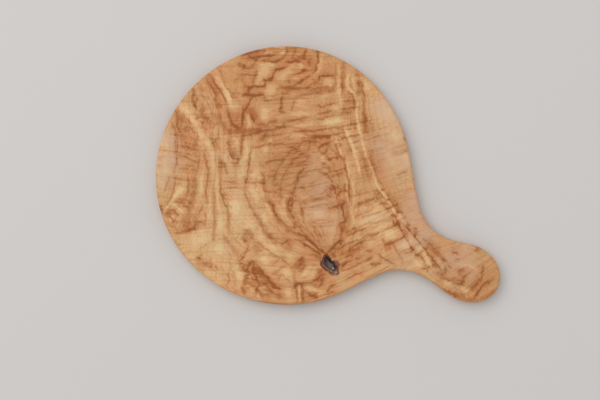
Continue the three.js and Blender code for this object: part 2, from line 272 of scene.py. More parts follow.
TOP_STREAKS = (
    (0.45, 4, [(-52, 140), (-40, 143), (-29, 147)]),
    (0.15, 5, [(-41, 141), (-33, 137)]),
    (0.6, 3, [(-33, 138), (-25, 139), (-15, 140), (-7, 142)]),
    (0.5, 3, [(-42, 140), (-36, 136), (-30, 133)]),
    (0.65, 3, [(-27, 132.5), (-20, 133), (-12, 132.5), (-5, 133.5)]),
    (0.2, 4, [(-32, 134), (-30, 138), (-29, 142)]),
    (0.4, 3, [(-38, 143), (-28, 145), (-19, 146)]),
    (0.4, 4, [(-8, 133), (-2, 137), (3, 142), (5, 149)]),
    (0.7, 4, [(2, 132), (8, 132), (13, 133), (21, 133)]),
    (0.5, 4, [(22, 134), (24, 139), (25, 147)]),
    (0.3, 4, [(9, 135), (12, 142), (14, 149)]),
    (0.35, 4, [(-53, 127), (-46, 125), (-40, 125), (-35, 129), (-33, 134)]),
    (0.1, 9, [(-46, 134), (-36, 133)]),
    (0.35, 2.5, [(-55, 118), (-46, 118), (-38, 117), (-30, 118)]),
    (0.3, 2, [(-49, 119), (-48, 112), (-47, 106), (-45, 101)]),
    (0.3, 2, [(-59, 107), (-55, 112), (-50, 118)]),
    (0.85, 2.5, [(5, 126), (0, 125), (-5, 124), (-10, 123)]),
    (0.6, 3.5, [(-9, 123), (-12, 119), (-13, 116), (-15, 112)]),
    (0.85, 3, [(-13, 112), (-19, 111), (-26, 111)]),
    (0.7, 3, [(-21, 110), (-22, 105), (-27, 103), (-34, 105)]),
    (0.35, 3, [(-33, 119), (-35, 113), (-36, 107)]),
    (0.5, 4, [(-33, 105), (-38, 103), (-43, 97)]),
    (0.85, 3.5, [(-49, 94), (-42, 94), (-35, 93), (-29, 94), (-24, 95)]),
    (0.35, 2.5, [(-25, 97), (-23, 92), (-22, 88), (-14, 87)]),
    (0.5, 3, [(-37, 91), (-40, 86), (-42, 82), (-46, 74)]),
    (0.4, 3, [(-46, 81), (-48, 72), (-47, 64), (-49, 55)]),
    (0.45, 4, [(-39, 73), (-36, 66), (-33, 61)]),
    (0.55, 4, [(-1, 93), (-3, 88), (-3, 82), (-4, 75)]),
    (0.35, 3, [(13, 88), (11, 82), (9, 75)]),
    (0.3, 3, [(-7, 75), (-2, 74), (5, 73)]),
    (0.3, 6, [(-5, 106), (-1, 102)]),
    (0.3, 4, [(6, 107), (5, 112)]),
    (0.55, 3, [(7, 117), (12, 117), (17, 118.5), (21, 121), (27, 124)]),
    (0.25, 7, [(20, 121), (29, 124)]),
    (0.6, 3, [(38, 147), (40, 140), (40, 134), (38.5, 128), (36.5, 122), (33, 118)]),
    (0.5, 3, [(32, 117), (27, 114), (21, 111), (14, 108)]),
    (0.2, 5, [(8, 131), (14, 135), (21, 136)]),
    (0.25, 7, [(27, 134), (34, 134)]),
    (0.4, 4, [(24, 110.5), (17, 107), (12, 105), (5, 103), (-1, 102)]),
    (0.35, 3, [(41, 108), (34, 108), (31, 105), (25, 102)]),
    (0.65, 2.5, [(41, 108), (41, 114), (44, 116), (50, 116), (59, 117)]),
    (0.45, 3, [(2, 100), (20, 101), (40, 102), (61, 104)]),
    (0.2, 4, [(25, 97), (50, 99)]),
    (0.35, 3, [(13, 92), (20, 93), (30, 95), (46, 96)]),
    (0.3, 7, [(-58, 97), (-57, 88)]),
    (-0.5, 12, [(-14, 107), (-15, 100), (-12, 96)]),
    (-0.4, 13, [(-22, 127), (-24, 118), (-28, 108)]),
    (-0.3, 7, [(-22, 122), (-28, 116), (-31, 109)]),
    (-0.45, 8, [(-7, 119), (2, 120), (7, 126)]),
    (-0.45, 7, [(-9, 114), (1, 114)]),
    (-0.35, 9, [(-22, 79), (-23, 70), (-22, 65)]),
    (-0.3, 6, [(-43, 73), (-41, 64), (-40, 57)]),
    (-0.25, 5, [(-19, 92), (-14, 89)]),
    (-0.25, 5, [(14, 88), (26, 86)]),
    (-0.25, 6, [(8, 126), (11, 130)]),
    (-0.3, 5, [(44, 141), (42, 128), (38, 118), (29, 111)]),
    (-0.25, 5, [(47, 112), (56, 110)]),
    (-0.25, 3, [(41, 92), (54, 93)]),
    (-0.3, 4, [(0, 146), (-2, 141)]),
    (0.35, 14, [(-40, 79), (-33, 64)]),
    (0.3, 5, [(-31, 60), (-17, 58)]),
    (0.4, 4, [(-3, 96), (8, 95)]),
    (-0.35, 6, [(-29, 132), (-25, 130), (-17, 129), (-11, 128)]),
    (0.35, 3, [(-31, 124), (-32, 117), (-32, 110)]),
    (-0.3, 4, [(-24, 143), (-13, 143)]),
    (0.35, 5, [(-55, 131), (-49, 129), (-43, 125)]),
    (0.4, 4, [(-45, 105), (-40, 102), (-36, 101)]),
    (-0.3, 4, [(-31, 110), (-31, 104)]),
    (0.4, 3, [(-20, 92), (-12, 93), (-6, 93.5)]),
    (-0.3, 4, [(24, 116.5), (17, 114), (10, 113)]),
    (0.4, 5, [(30, 133), (30, 127)]),
    (-0.3, 6, [(17, 127), (23, 128)]),
    (-0.3, 6, [(47, 105), (58, 106)]),
    (0.35, 5, [(50, 98), (60, 100)]),
)
RIGHT_STREAKS = (
    (-0.35, 4.5, [(63.5, 132), (64, 120), (64, 110), (64, 100), (65, 92), (66, 85), (67, 77)]),
    (0.35, 2.5, [(61, 132), (60, 115), (60, 103)]),
    (0.35, 6, [(69, 133), (69, 120), (69, 108), (69, 96)]),
    (0.3, 2.5, [(67, 118), (67, 105), (68, 94)]),
    (0.5, 3, [(73, 99), (77, 96), (80, 93), (82, 88), (82, 82)]),
    (-0.4, 4, [(75, 120), (74, 110), (74, 104), (76, 100), (80, 95), (82, 92)]),
    (0.3, 2, [(78, 116), (77, 108), (81, 99)]),
    (-0.25, 3, [(80, 116), (81, 106), (84, 99)]),
    (0.4, 5, [(87, 111), (87, 102)]),
    (0.4, 6, [(84, 99), (90, 96)]),
    (0.3, 5, [(69, 85), (80, 87), (90, 86)]),
    (0.5, 2.5, [(90, 111), (91, 100), (94, 94), (96, 85)]),
    (0.4, 6, [(83, 118), (89, 117)]),
    (-0.45, 3.5, [(83, 94), (85.5, 85), (84.5, 75), (85.5, 65), (87, 57), (89, 49)]),
    (-0.4, 2.5, [(88.5, 54), (90, 48), (91.5, 40), (93, 33), (95, 26), (97, 20)]),
    (0.3, 2.5, [(81, 90), (82, 80), (83, 70), (83, 60), (84, 49)]),
    (0.3, 5, [(92.5, 93), (93, 80), (93, 69), (93, 58)]),
    (0.4, 3, [(92, 62), (98, 64)]),
    (0.25, 4, [(93, 58), (94, 51)]),
    (0.3, 3, [(91, 50), (99, 50)]),
    (0.3, 3, [(91, 42), (99, 41)]),
    (-0.45, 4.5, [(69, 62), (72, 54), (74, 48), (77, 41), (80, 35), (82, 28), (84.5, 19)]),
    (0.35, 3, [(68, 55), (71, 46), (74, 38), (78, 30), (80, 22)]),
    (-0.4, 3, [(58, 47), (61, 41), (63, 35), (66, 28), (69, 21)]),
    (0.5, 3, [(59, 39), (62, 32), (65, 24), (69, 19)]),
    (0.45, 3, [(79, 38), (82, 39), (89, 40)]),
    (0.5, 3, [(35, 82), (45, 80), (52, 82), (62, 84)]),
    (-0.3, 6, [(54, 80), (63, 78)]),
    (0.55, 3, [(39, 72), (48, 73), (57, 76)]),
    (0.45, 2.5, [(35, 65), (44, 66), (50, 68), (60, 71)]),
    (-0.35, 8, [(45, 61), (58, 62), (66, 65)]),
    (0.5, 3, [(55, 55), (62, 56), (68, 57), (75, 58.5), (83, 60.5), (92, 63)]),
    (0.5, 3, [(9, 51), (20, 52), (35, 52), (48, 54), (59, 56)]),
    (0.85, 4, [(33, 45), (42, 45), (50, 45), (57, 47)]),
    (0.5, 3, [(56, 47), (65, 49), (71, 50)]),
    (0.5, 2.5, [(59, 41), (66, 42), (72, 44), (80, 46), (88, 47)]),
    (0.7, 3, [(40, 32), (46, 36), (52, 38), (58, 41)]),
    (0.5, 3, [(65, 77), (75, 78), (83, 79), (91, 80)]),
    (0.4, 3, [(65, 72), (75, 73), (81, 74)]),
    (0.25, 2.5, [(69, 66), (82, 67)]),
    (0.35, 2.5, [(66, 54), (80, 54)]),
    (0.25, 2.5, [(80, 33), (90, 33), (96, 34)]),
    (0.3, 2.5, [(72, 27), (80, 29)]),
    (0.15, 3, [(99, 28), (110, 30), (121, 32)]),
    (0.2, 3, [(129, 32), (143, 36)]),
    (0.2, 3, [(131, 24), (146, 29)]),
    (0.2, 3, [(104, 44), (125, 50)]),
    (0.4, 3, [(140, 44), (144, 36)]),
    (0.3, 3, [(130, 0), (138, 3), (145, 6)]),
    (0.3, 8, [(94, 76), (96, 50)]),
    (0.4, 5, [(61, 36), (69, 35)]),
    (0.2, 5, [(90, 30), (95, 12), (97, 0)]),
    (0.1, 12, [(102, 72), (103, 52), (106, 32), (110, 12), (115, -4)]),
    (0.3, 1.8, [(86, 16.5), (94, 18.5), (103, 20.5)]),
    (0.25, 1.8, [(90, 9), (97, 11), (104, 12.5)]),
    (0.25, 1.8, [(96, 0.5), (106, 3)]),
    (0.3, 2, [(103, -26), (110, -21), (117, -16)]),
    (0.25, 4, [(124, 26), (134, 28), (144, 31)]),
    (-0.18, 12, [(113, 82), (119, 76), (125, 69)]),
    (-0.18, 10, [(124, 50), (130, 45), (135, 40)]),
    (-0.18, 9, [(138, 26), (143, 19), (146, 13)]),
    (-0.25, 6, [(93, 112), (96, 105), (98, 98)]),
    (-0.15, 8, [(119, 26), (124, 20), (128, 13)]),
)
NECK_STREAKS = (
    (-0.4, 4, [(72, 21), (74, 10), (76, 5), (75, -1)]),
    (-0.35, 4, [(73, -3), (73, -15), (74, -25), (76, -33)]),
    (-0.3, 3, [(79, 1), (80, -10), (81, -20), (81, -30), (79, -40), (80, -48), (83, -59)]),
    (-0.4, 4, [(85, 20), (87, 10), (88, 2)]),
    (-0.5, 2.2, [(96, 23), (99, 16), (102, 8), (104, 1), (106, -5), (109, -12), (113, -18), (119, -26)]),
    (-0.4, 3.5, [(122, -30), (124, -36)]),
    (0.4, 4, [(108, -14), (111, -20), (115, -26)]),
    (-0.45, 4, [(126, -36), (129, -45)]),
    (-0.4, 3, [(133, -44), (136, -49)]),
    (-0.4, 3, [(136, -51), (142, -58)]),
    (-0.3, 3, [(142, -61), (149, -67)]),
    (0.6, 2.5, [(70, 20), (71, 10), (74, 0), (75, -8), (76, -20), (77, -32)]),
    (0.5, 3, [(72, -8), (71, -16), (75, -21)]),
    (0.45, 2.5, [(65, -9), (62, -14), (66, -17), (64, -22), (66, -27)]),
    (0.75, 2.3, [(68, -27), (70, -32), (67, -36), (69, -42), (70, -48), (72, -52), (64, -57)]),
    (0.35, 13, [(72, -57), (67, -65)]),
    (0.8, 4, [(71, -74), (64, -77), (60, -80), (58, -84), (54, -86), (51, -91)]),
    (0.5, 4, [(64, -79), (68, -80)]),
    (0.4, 6, [(53, -90), (57, -92), (60, -96)]),
    (0.6, 3, [(62, -106), (67, -105), (75, -101)]),
    (0.35, 7, [(47, -110), (41, -111), (38, -107)]),
    (0.55, 3, [(67, -59), (67, -66), (65, -72)]),
    (0.4, 2.5, [(98, 32), (101, 21), (104.5, 10), (107.5, 0), (111, -7), (115, -12)]),
    (0.45, 3.5, [(114, -15), (117, -18)]),
    (0.45, 4, [(119, -20), (123, -22)]),
    (0.4, 4, [(120, -28), (125, -28)]),
    (0.5, 3.5, [(126, -35), (133, -33)]),
    (0.5, 4, [(111, -32), (119, -33)]),
    (0.6, 3, [(117, -40), (122, -38), (127, -36)]),
    (0.45, 3.5, [(131, -42), (139, -43)]),
    (0.45, 3.5, [(124, -47), (132, -46)]),
    (0.5, 3, [(126, -51), (128, -56), (134, -57)]),
    (0.55, 2.5, [(134, -51), (139, -56), (144, -61), (149, -66)]),
    (0.4, 4, [(143, -56), (147, -58)]),
    (0.4, 4, [(151, -61), (155, -63)]),
    (0.35, 3, [(51, -39), (60, -36), (69, -33)]),
    (0.3, 2.5, [(80, -25), (90, -22), (100, -19), (112, -17)]),
    (0.4, 2.5, [(79, -38), (88, -34), (97, -31), (105, -27), (113, -24)]),
    (0.35, 2.5, [(81, -48), (90, -45), (98, -42), (105, -38)]),
    (0.3, 2.5, [(99, -58), (108, -55), (118, -52), (125, -50)]),
    (-0.2, 6, [(89, -53), (101, -50), (112, -47)]),
    (0.5, 3, [(74, -70), (82, -66), (90, -63), (97, -62)]),
    (0.35, 2.5, [(97, -72), (105, -69), (112, -66), (120, -62), (128, -58)]),
    (0.35, 2.5, [(85, -79), (95, -76), (104, -73)]),
    (0.45, 3, [(73, -88), (80, -83), (87, -80), (93, -77)]),
    (0.35, 3, [(60, -87), (66, -84), (72, -80), (81, -77)]),
    (0.5, 4, [(115, -81), (120, -80), (127, -79)]),
    (0.35, 3.5, [(113, -74), (118, -77)]),
    (0.25, 9, [(117, -85), (125, -84)]),
    (0.45, 2.5, [(122, -78), (130, -77), (136, -74), (142, -70)]),
    (0.3, 4, [(69, -96), (78, -92), (86, -86), (93, -82)]),
    (0.4, 3, [(62, -104), (72, -101), (84, -97), (93, -93)]),
    (0.4, 3, [(64, -111), (80, -107), (90, -101), (103, -97)]),
    (0.45, 2.5, [(71, -122), (82, -116), (96, -111)]),
    (0.5, 2, [(95, -88), (104, -88)]),
    (0.5, 3, [(108, -91), (114, -95), (119, -98), (124, -101), (130, -104)]),
    (0.4, 3, [(96, -97), (101, -95), (105, -93)]),
    (0.6, 3.5, [(101, -104), (113, -102)]),
    (0.45, 3, [(139, -92), (148, -88), (153, -84)]),
    (0.45, 2.5, [(152, -94), (158, -92)]),
    (-0.3, 13, [(118, -70), (128, -65)]),
    (-0.2, 9, [(97, -79), (104, -78)]),
    (-0.25, 9, [(139, -84), (146, -80)]),
    (-0.25, 7, [(156, -87), (160, -84)]),
    (0.3, 2.5, [(94, -36), (103, -33), (111, -29)]),
    (-0.25, 5, [(77, -92), (92, -88)]),
    (0.35, 2.5, [(132, -53), (135, -60), (140, -68)]),
    (0.3, 2, [(140, -61), (143, -70), (144, -79)]),
    (0.4, 2.5, [(147, -81), (149, -89)]),
    (0.4, 2.5, [(127, -79), (130, -86), (134, -92), (137, -97), (139, -104)]),
    (0.35, 3, [(153, -66), (152, -72)]),
    (0.15, 5, [(75, -18), (75, -40), (74, -56)]),
    (-0.4, 2.3, [(108, -12), (113, -18), (118, -25), (122, -31), (126, -38), (131, -46)]),
    (-0.35, 2.3, [(131, -46), (136, -52), (143, -60)]),
    (0.35, 5, [(139, -47), (143, -50)]),
    (0.35, 2.5, [(86, -51), (97, -47), (108, -44), (116, -41)]),
    (0.4, 3, [(76, -95), (84, -91), (90, -88)]),
    (0.35, 8, [(118, -26), (128, -37), (137, -44)]),
    (0.35, 7, [(61, -92), (75, -89), (86, -86)]),
    (0.2, 6, [(150, -63), (158, -70)]),
    (0.35, 2.5, [(86, -34), (97, -29), (109, -26)]),
    (0.35, 2.5, [(67, -72), (75, -66), (84, -61), (93, -58), (101, -55), (112, -52)]),
    (0.35, 2.5, [(67, -85), (77, -79), (88, -74), (99, -69), (110, -65)]),
)
CORNER_STREAKS = (
    (0.3, 17, [(-120, -51), (-107, -51)]),
    (0.5, 4, [(-127, -68), (-118, -65.5), (-110, -64), (-101, -61.5)]),
    (0.2, 9, [(-124, -57), (-106, -58)]),
    (0.25, 7, [(-104, -44), (-103, -56)]),
    (0.2, 3, [(-103, 0), (-102, -14), (-103, -24)]),
    (0.35, 4, [(-129, -31), (-122, -31), (-116, -34), (-112, -38), (-109, -45)]),
    (0.35, 4, [(-124, -27), (-116, -28), (-110, -31), (-105, -37)]),
    (-0.35, 3, [(-131, -33), (-124, -37), (-117, -43)]),
    (0.4, 4, [(-137, -45), (-132, -40), (-127, -41), (-123, -47)]),
    (-0.2, 4, [(-133, -50), (-132, -56)]),
    (-0.35, 3, [(-131, -46), (-128, -50)]),
    (0.6, 2, [(-133, -47), (-129, -52)]),
    (0.6, 2.5, [(-131, -54), (-126, -53)]),
    (0.3, 5, [(-134, -58), (-129, -60)]),
    (-0.4, 4, [(-141, -43), (-134, -34), (-129, -27), (-124, -21), (-117, -14)]),
    (-0.3, 9, [(-125, -20), (-118, -13)]),
    (0.4, 3, [(-138, -38), (-133, -29), (-130, -22), (-128, -14), (-127, -4)]),
    (0.45, 3, [(-140, -19), (-136, -10), (-133, -1)]),
    (0.6, 5, [(-144, -35), (-141, -43)]),
    (-0.2, 10, [(-142, -4), (-139, -19)]),
    (0.25, 3, [(-129, -2), (-122, -4), (-117, -2)]),
    (0.25, 3, [(-128, -9), (-119, -11)]),
    (0.4, 4, [(-112, 1), (-111, -10), (-112, -20), (-115, -27)]),
    (0.3, 7, [(-105, 1), (-105, -12), (-106, -24), (-109, -35)]),
    (-0.25, 6, [(-96, 1), (-96, -12), (-97, -23)]),
    (0.4, 2.5, [(-88, 1), (-90, -10), (-91, -20), (-89, -28), (-89, -35)]),
    (0.35, 2.5, [(-95, -34), (-98, -42), (-100, -49)]),
    (0.45, 2.5, [(-93, -41), (-91, -48), (-91, -54), (-93, -57), (-97, -54), (-100, -57)]),
    (0.3, 4.5, [(-82, -17), (-81, -28), (-82, -40), (-80, -50), (-81, -60), (-82, -70), (-82, -80)]),
    (0.35, 2.5, [(-74, -1), (-74, -12), (-73, -21)]),
    (0.45, 3, [(-73, -20), (-71, -26), (-70, -32), (-65, -39)]),
    (0.35, 4, [(-66, -37), (-64, -48), (-65, -58), (-64, -69)]),
    (0.35, 5, [(-71, -69), (-66, -76), (-62, -82), (-57, -88), (-53, -94)]),
    (0.4, 3, [(-69, -7), (-61, -8), (-52, -9)]),
    (0.4, 3, [(-68, -14), (-61, -14), (-55, -14), (-49, -16)]),
    (0.3, 3, [(-69, -2), (-60, -3), (-53, -4)]),
    (0.25, 2, [(-76, -22), (-65, -22), (-54, -21)]),
    (0.25, 2, [(-69, -28), (-57, -28)]),
    (0.25, 2, [(-68, -36), (-59, -36)]),
    (0.4, 3, [(-45, -1), (-45, -8), (-46, -18), (-43, -26), (-41, -33)]),
    (0.8, 2.5, [(-102, -95), (-97, -97)]),
    (0.5, 1.8, [(-98, -93), (-94, -92)]),
    (0.35, 2, [(-99, -87), (-96, -83), (-92, -82), (-88, -78)]),
    (0.35, 6, [(-93, -103), (-87, -104), (-83, -106)]),
    (0.25, 12, [(-102, -103), (-90, -100)]),
    (0.4, 3, [(-80, -103), (-78, -111)]),
    (0.4, 3, [(-66, -111), (-64, -120), (-67, -130)]),
    (-0.2, 18, [(-109, -75), (-96, -71), (-90, -66)]),
    (-0.3, 12, [(-81, -86), (-71, -86)]),
    (-0.25, 8, [(-75, -49), (-74, -63)]),
    (-0.3, 12, [(-58, -46), (-56, -29)]),
    (-0.25, 3.5, [(-77, 0), (-78, -14), (-77, -26), (-76, -42)]),
    (-0.25, 3.5, [(-86, -20), (-86, -36), (-87, -52)]),
    (0.3, 6, [(-113, -63), (-101, -61)]),
    (0.3, 6, [(-103, -56), (-97, -54)]),
    (0.35, 7, [(-139, -46), (-130, -45)]),
    (0.3, 6, [(-105, -57), (-102, -60)]),
    (0.35, 4, [(-109, 7), (-103, 6), (-99, 5)]),
    (-0.2, 12, [(-62, -25), (-54, -19)]),
)
MIDDLE_STREAKS = (
    (0.55, 2.5, [(-38, 31), (-39.5, 22), (-41, 12), (-42, 4), (-43, -2), (-44, -9)]),
    (0.5, 3, [(-37, 32), (-28, 33.5), (-22, 36), (-12, 37)]),
    (0.45, 4, [(-27, 40), (-23, 45), (-20, 50)]),
    (0.45, 2.5, [(-13, 36), (-5, 37), (1, 38)]),
    (0.45, 3, [(-23, 13), (-15, 17), (-8, 18), (1, 18)]),
    (0.25, 4, [(-29, 15), (-23, 9)]),
    (0.2, 2, [(-16, 27), (-8, 24), (-2, 27)]),
    (0.25, 2.5, [(-20, 5), (-12, 6), (-4, 8)]),
    (0.45, 2.5, [(-49, -8), (-40, -8), (-30, -8), (-21, -8)]),
    (0.25, 4, [(-27, -7), (-25, -14), (-20, -19)]),
    (0.35, 2, [(-26, -18), (-15, -19), (-4, -20)]),
    (0.35, 2, [(-19, -1), (-12, -2), (-7, -6)]),
    (0.3, 5, [(-22, -21), (-22, -28), (-18, -32), (-13, -35), (-8, -38)]),
    (0.2, 6, [(-12, -35), (-12, -43), (-8, -49), (-3, -56)]),
    (0.25, 7, [(6, -29), (7, -38), (6, -46), (8, -53)]),
    (0.5, 2, [(9, -20), (13, -24), (14, -28), (10, -31), (9, -37)]),
    (0.35, 2.5, [(12, 10), (18, 13), (23, 16), (27, 19), (33, 20)]),
    (0.4, 2.5, [(16, 1), (20, 5), (24, 9)]),
    (0.35, 3, [(17, 0), (14, -6), (9, -10)]),
    (0.2, 3, [(23, -1), (32, 2), (38, 4), (44, 3), (49, 0)]),
    (0.25, 2.5, [(24, -10), (32, -9), (38, -5), (43, -1)]),
    (0.4, 2.5, [(46, 0), (53, 1)]),
    (0.35, 3, [(51, 13), (54, 6), (52, 2)]),
    (0.45, 2, [(7, 33), (13, 31), (18, 33), (20, 38), (22, 42)]),
    (0.5, 2.5, [(21, 41), (28, 40), (34, 41)]),
    (0.5, 2, [(30, 39), (31, 35), (28, 31)]),
    (0.3, 2, [(17, 29), (22, 24), (31, 22)]),
    (0.25, 3, [(9, 20), (9.5, 15), (9, 10)]),
    (0.4, 8, [(53, -14), (59, -16)]),
    (0.3, 9, [(50, -14), (54, -28)]),
    (0.35, 3, [(20, -36), (20, -48)]),
    (0.55, 2, [(50, 19), (56, 20), (63, 21)]),
    (0.3, 3, [(61, 25), (66, 21), (68, 17)]),
    (0.4, 3, [(70, 22), (73, 14)]),
    (0.5, 3, [(44, 26), (49, 27), (50, 33)]),
    (0.4, 2.5, [(42, 14), (49, 14)]),
    (0.4, 2.5, [(17, -29), (21, -38), (22, -46), (23, -52), (25, -58)]),
    (0.35, 5, [(27, -33), (21, -30)]),
    (0.4, 3, [(19, -14), (25, -15)]),
    (0.25, 3, [(29, -25), (40, -22), (51, -20)]),
    (0.25, 3, [(51, -40), (58, -38), (63, -36)]),
    (0.2, 2.5, [(33, -38), (45, -35)]),
    (0.2, 2.5, [(30, -31), (42, -28), (52, -27)]),
    (0.3, 3, [(56, 5), (64, 6), (70, 8)]),
    (0.3, 3, [(54, -2), (62, 1), (70, 2)]),
    (0.45, 2.5, [(2, 63), (10, 64), (18, 66), (29, 68)]),
    (0.5, 3, [(-19, 61), (-15, 63), (-7, 65)]),
    (0.35, 2, [(0, 64), (0, 57), (3, 54)]),
    (0.55, 3, [(-23, 52), (-15, 53), (-6, 56), (1, 57)]),
    (0.45, 5, [(-42, 53), (-36, 53), (-30, 53), (-24, 52)]),
    (0.5, 3.5, [(-50, 46), (-45, 47), (-38, 47.5), (-31, 50), (-23, 52)]),
    (-0.3, 10, [(34, -44), (46, -45)]),
    (-0.2, 6, [(27, 1), (41, 3)]),
    (-0.25, 7, [(-35, 6), (-36, -3)]),
    (-0.25, 10, [(-36, -14), (-30, -31)]),
    (-0.25, 8, [(-25, -44), (-20, -53)]),
    (-0.25, 4, [(-36, 29), (-36, 17)]),
    (-0.25, 6, [(-22, 27), (-20, 39)]),
    (-0.25, 5, [(46, 26), (45, 20), (51, 14)]),
    (-0.2, 5, [(-4, -39), (-2, -47)]),
    (-0.3, 5, [(-45, 43), (-44, 25), (-47, 17)]),
    (-0.25, 5, [(7, 72), (20, 72), (31, 73)]),
    (-0.25, 5, [(9, 58), (25, 59), (36, 61)]),
    (-0.2, 4, [(8, 45), (24, 46)]),
    (0.4, 3.5, [(-28, 43), (-18, 46), (-8, 47), (2, 49)]),
    (-0.25, 6, [(-18, 40), (-12, 41)]),
    (0.35, 5, [(-38, 7), (-37, 1)]),
    (0.3, 4, [(-12, -10), (-6, -12)]),
    (0.2, 2.5, [(23, 10), (20, 4), (16, -3), (15, -10), (11, -18)]),
    (0.4, 3, [(-26, 4), (-23, -3), (-24, -12)]),
    (0.4, 3, [(-17, -28), (-13, -36), (-10, -45), (-3, -53), (6, -61)]),
    (0.35, 2.5, [(9, -18), (7, -27), (5, -37), (9, -46), (13, -55)]),
    (0.35, 2.5, [(13, -55), (19, -62), (26, -70), (36, -81)]),
    (-0.25, 3.5, [(-30, 5), (-28, -8), (-24, -22), (-18, -38), (-9, -52)]),
    (-0.25, 3, [(2, -20), (0, -34), (3, -48), (12, -60)]),
    (0.25, 2.5, [(-4, -30), (-3, -8), (3, 6), (10, 16), (19, 24), (29, 28), (40, 28)]),
    (0.25, 2.5, [(40, 28), (49, 23), (56, 15), (61, 6), (65, -8), (66, -18)]),
    (0.25, 2.2, [(8, -40), (10, -25), (13, -12), (18, -4), (25, 2), (33, 5), (42, 6)]),
    (0.25, 2.2, [(42, 6), (50, 1), (56, -8), (60, -20), (63, -36)]),
    (0.25, 2.2, [(-14, -12), (-10, 2), (-4, 12), (3, 22), (10, 30), (18, 35), (27, 38)]),
    (0.25, 2.2, [(27, 38), (36, 39), (45, 37), (53, 33), (59, 27), (65, 15)]),
)
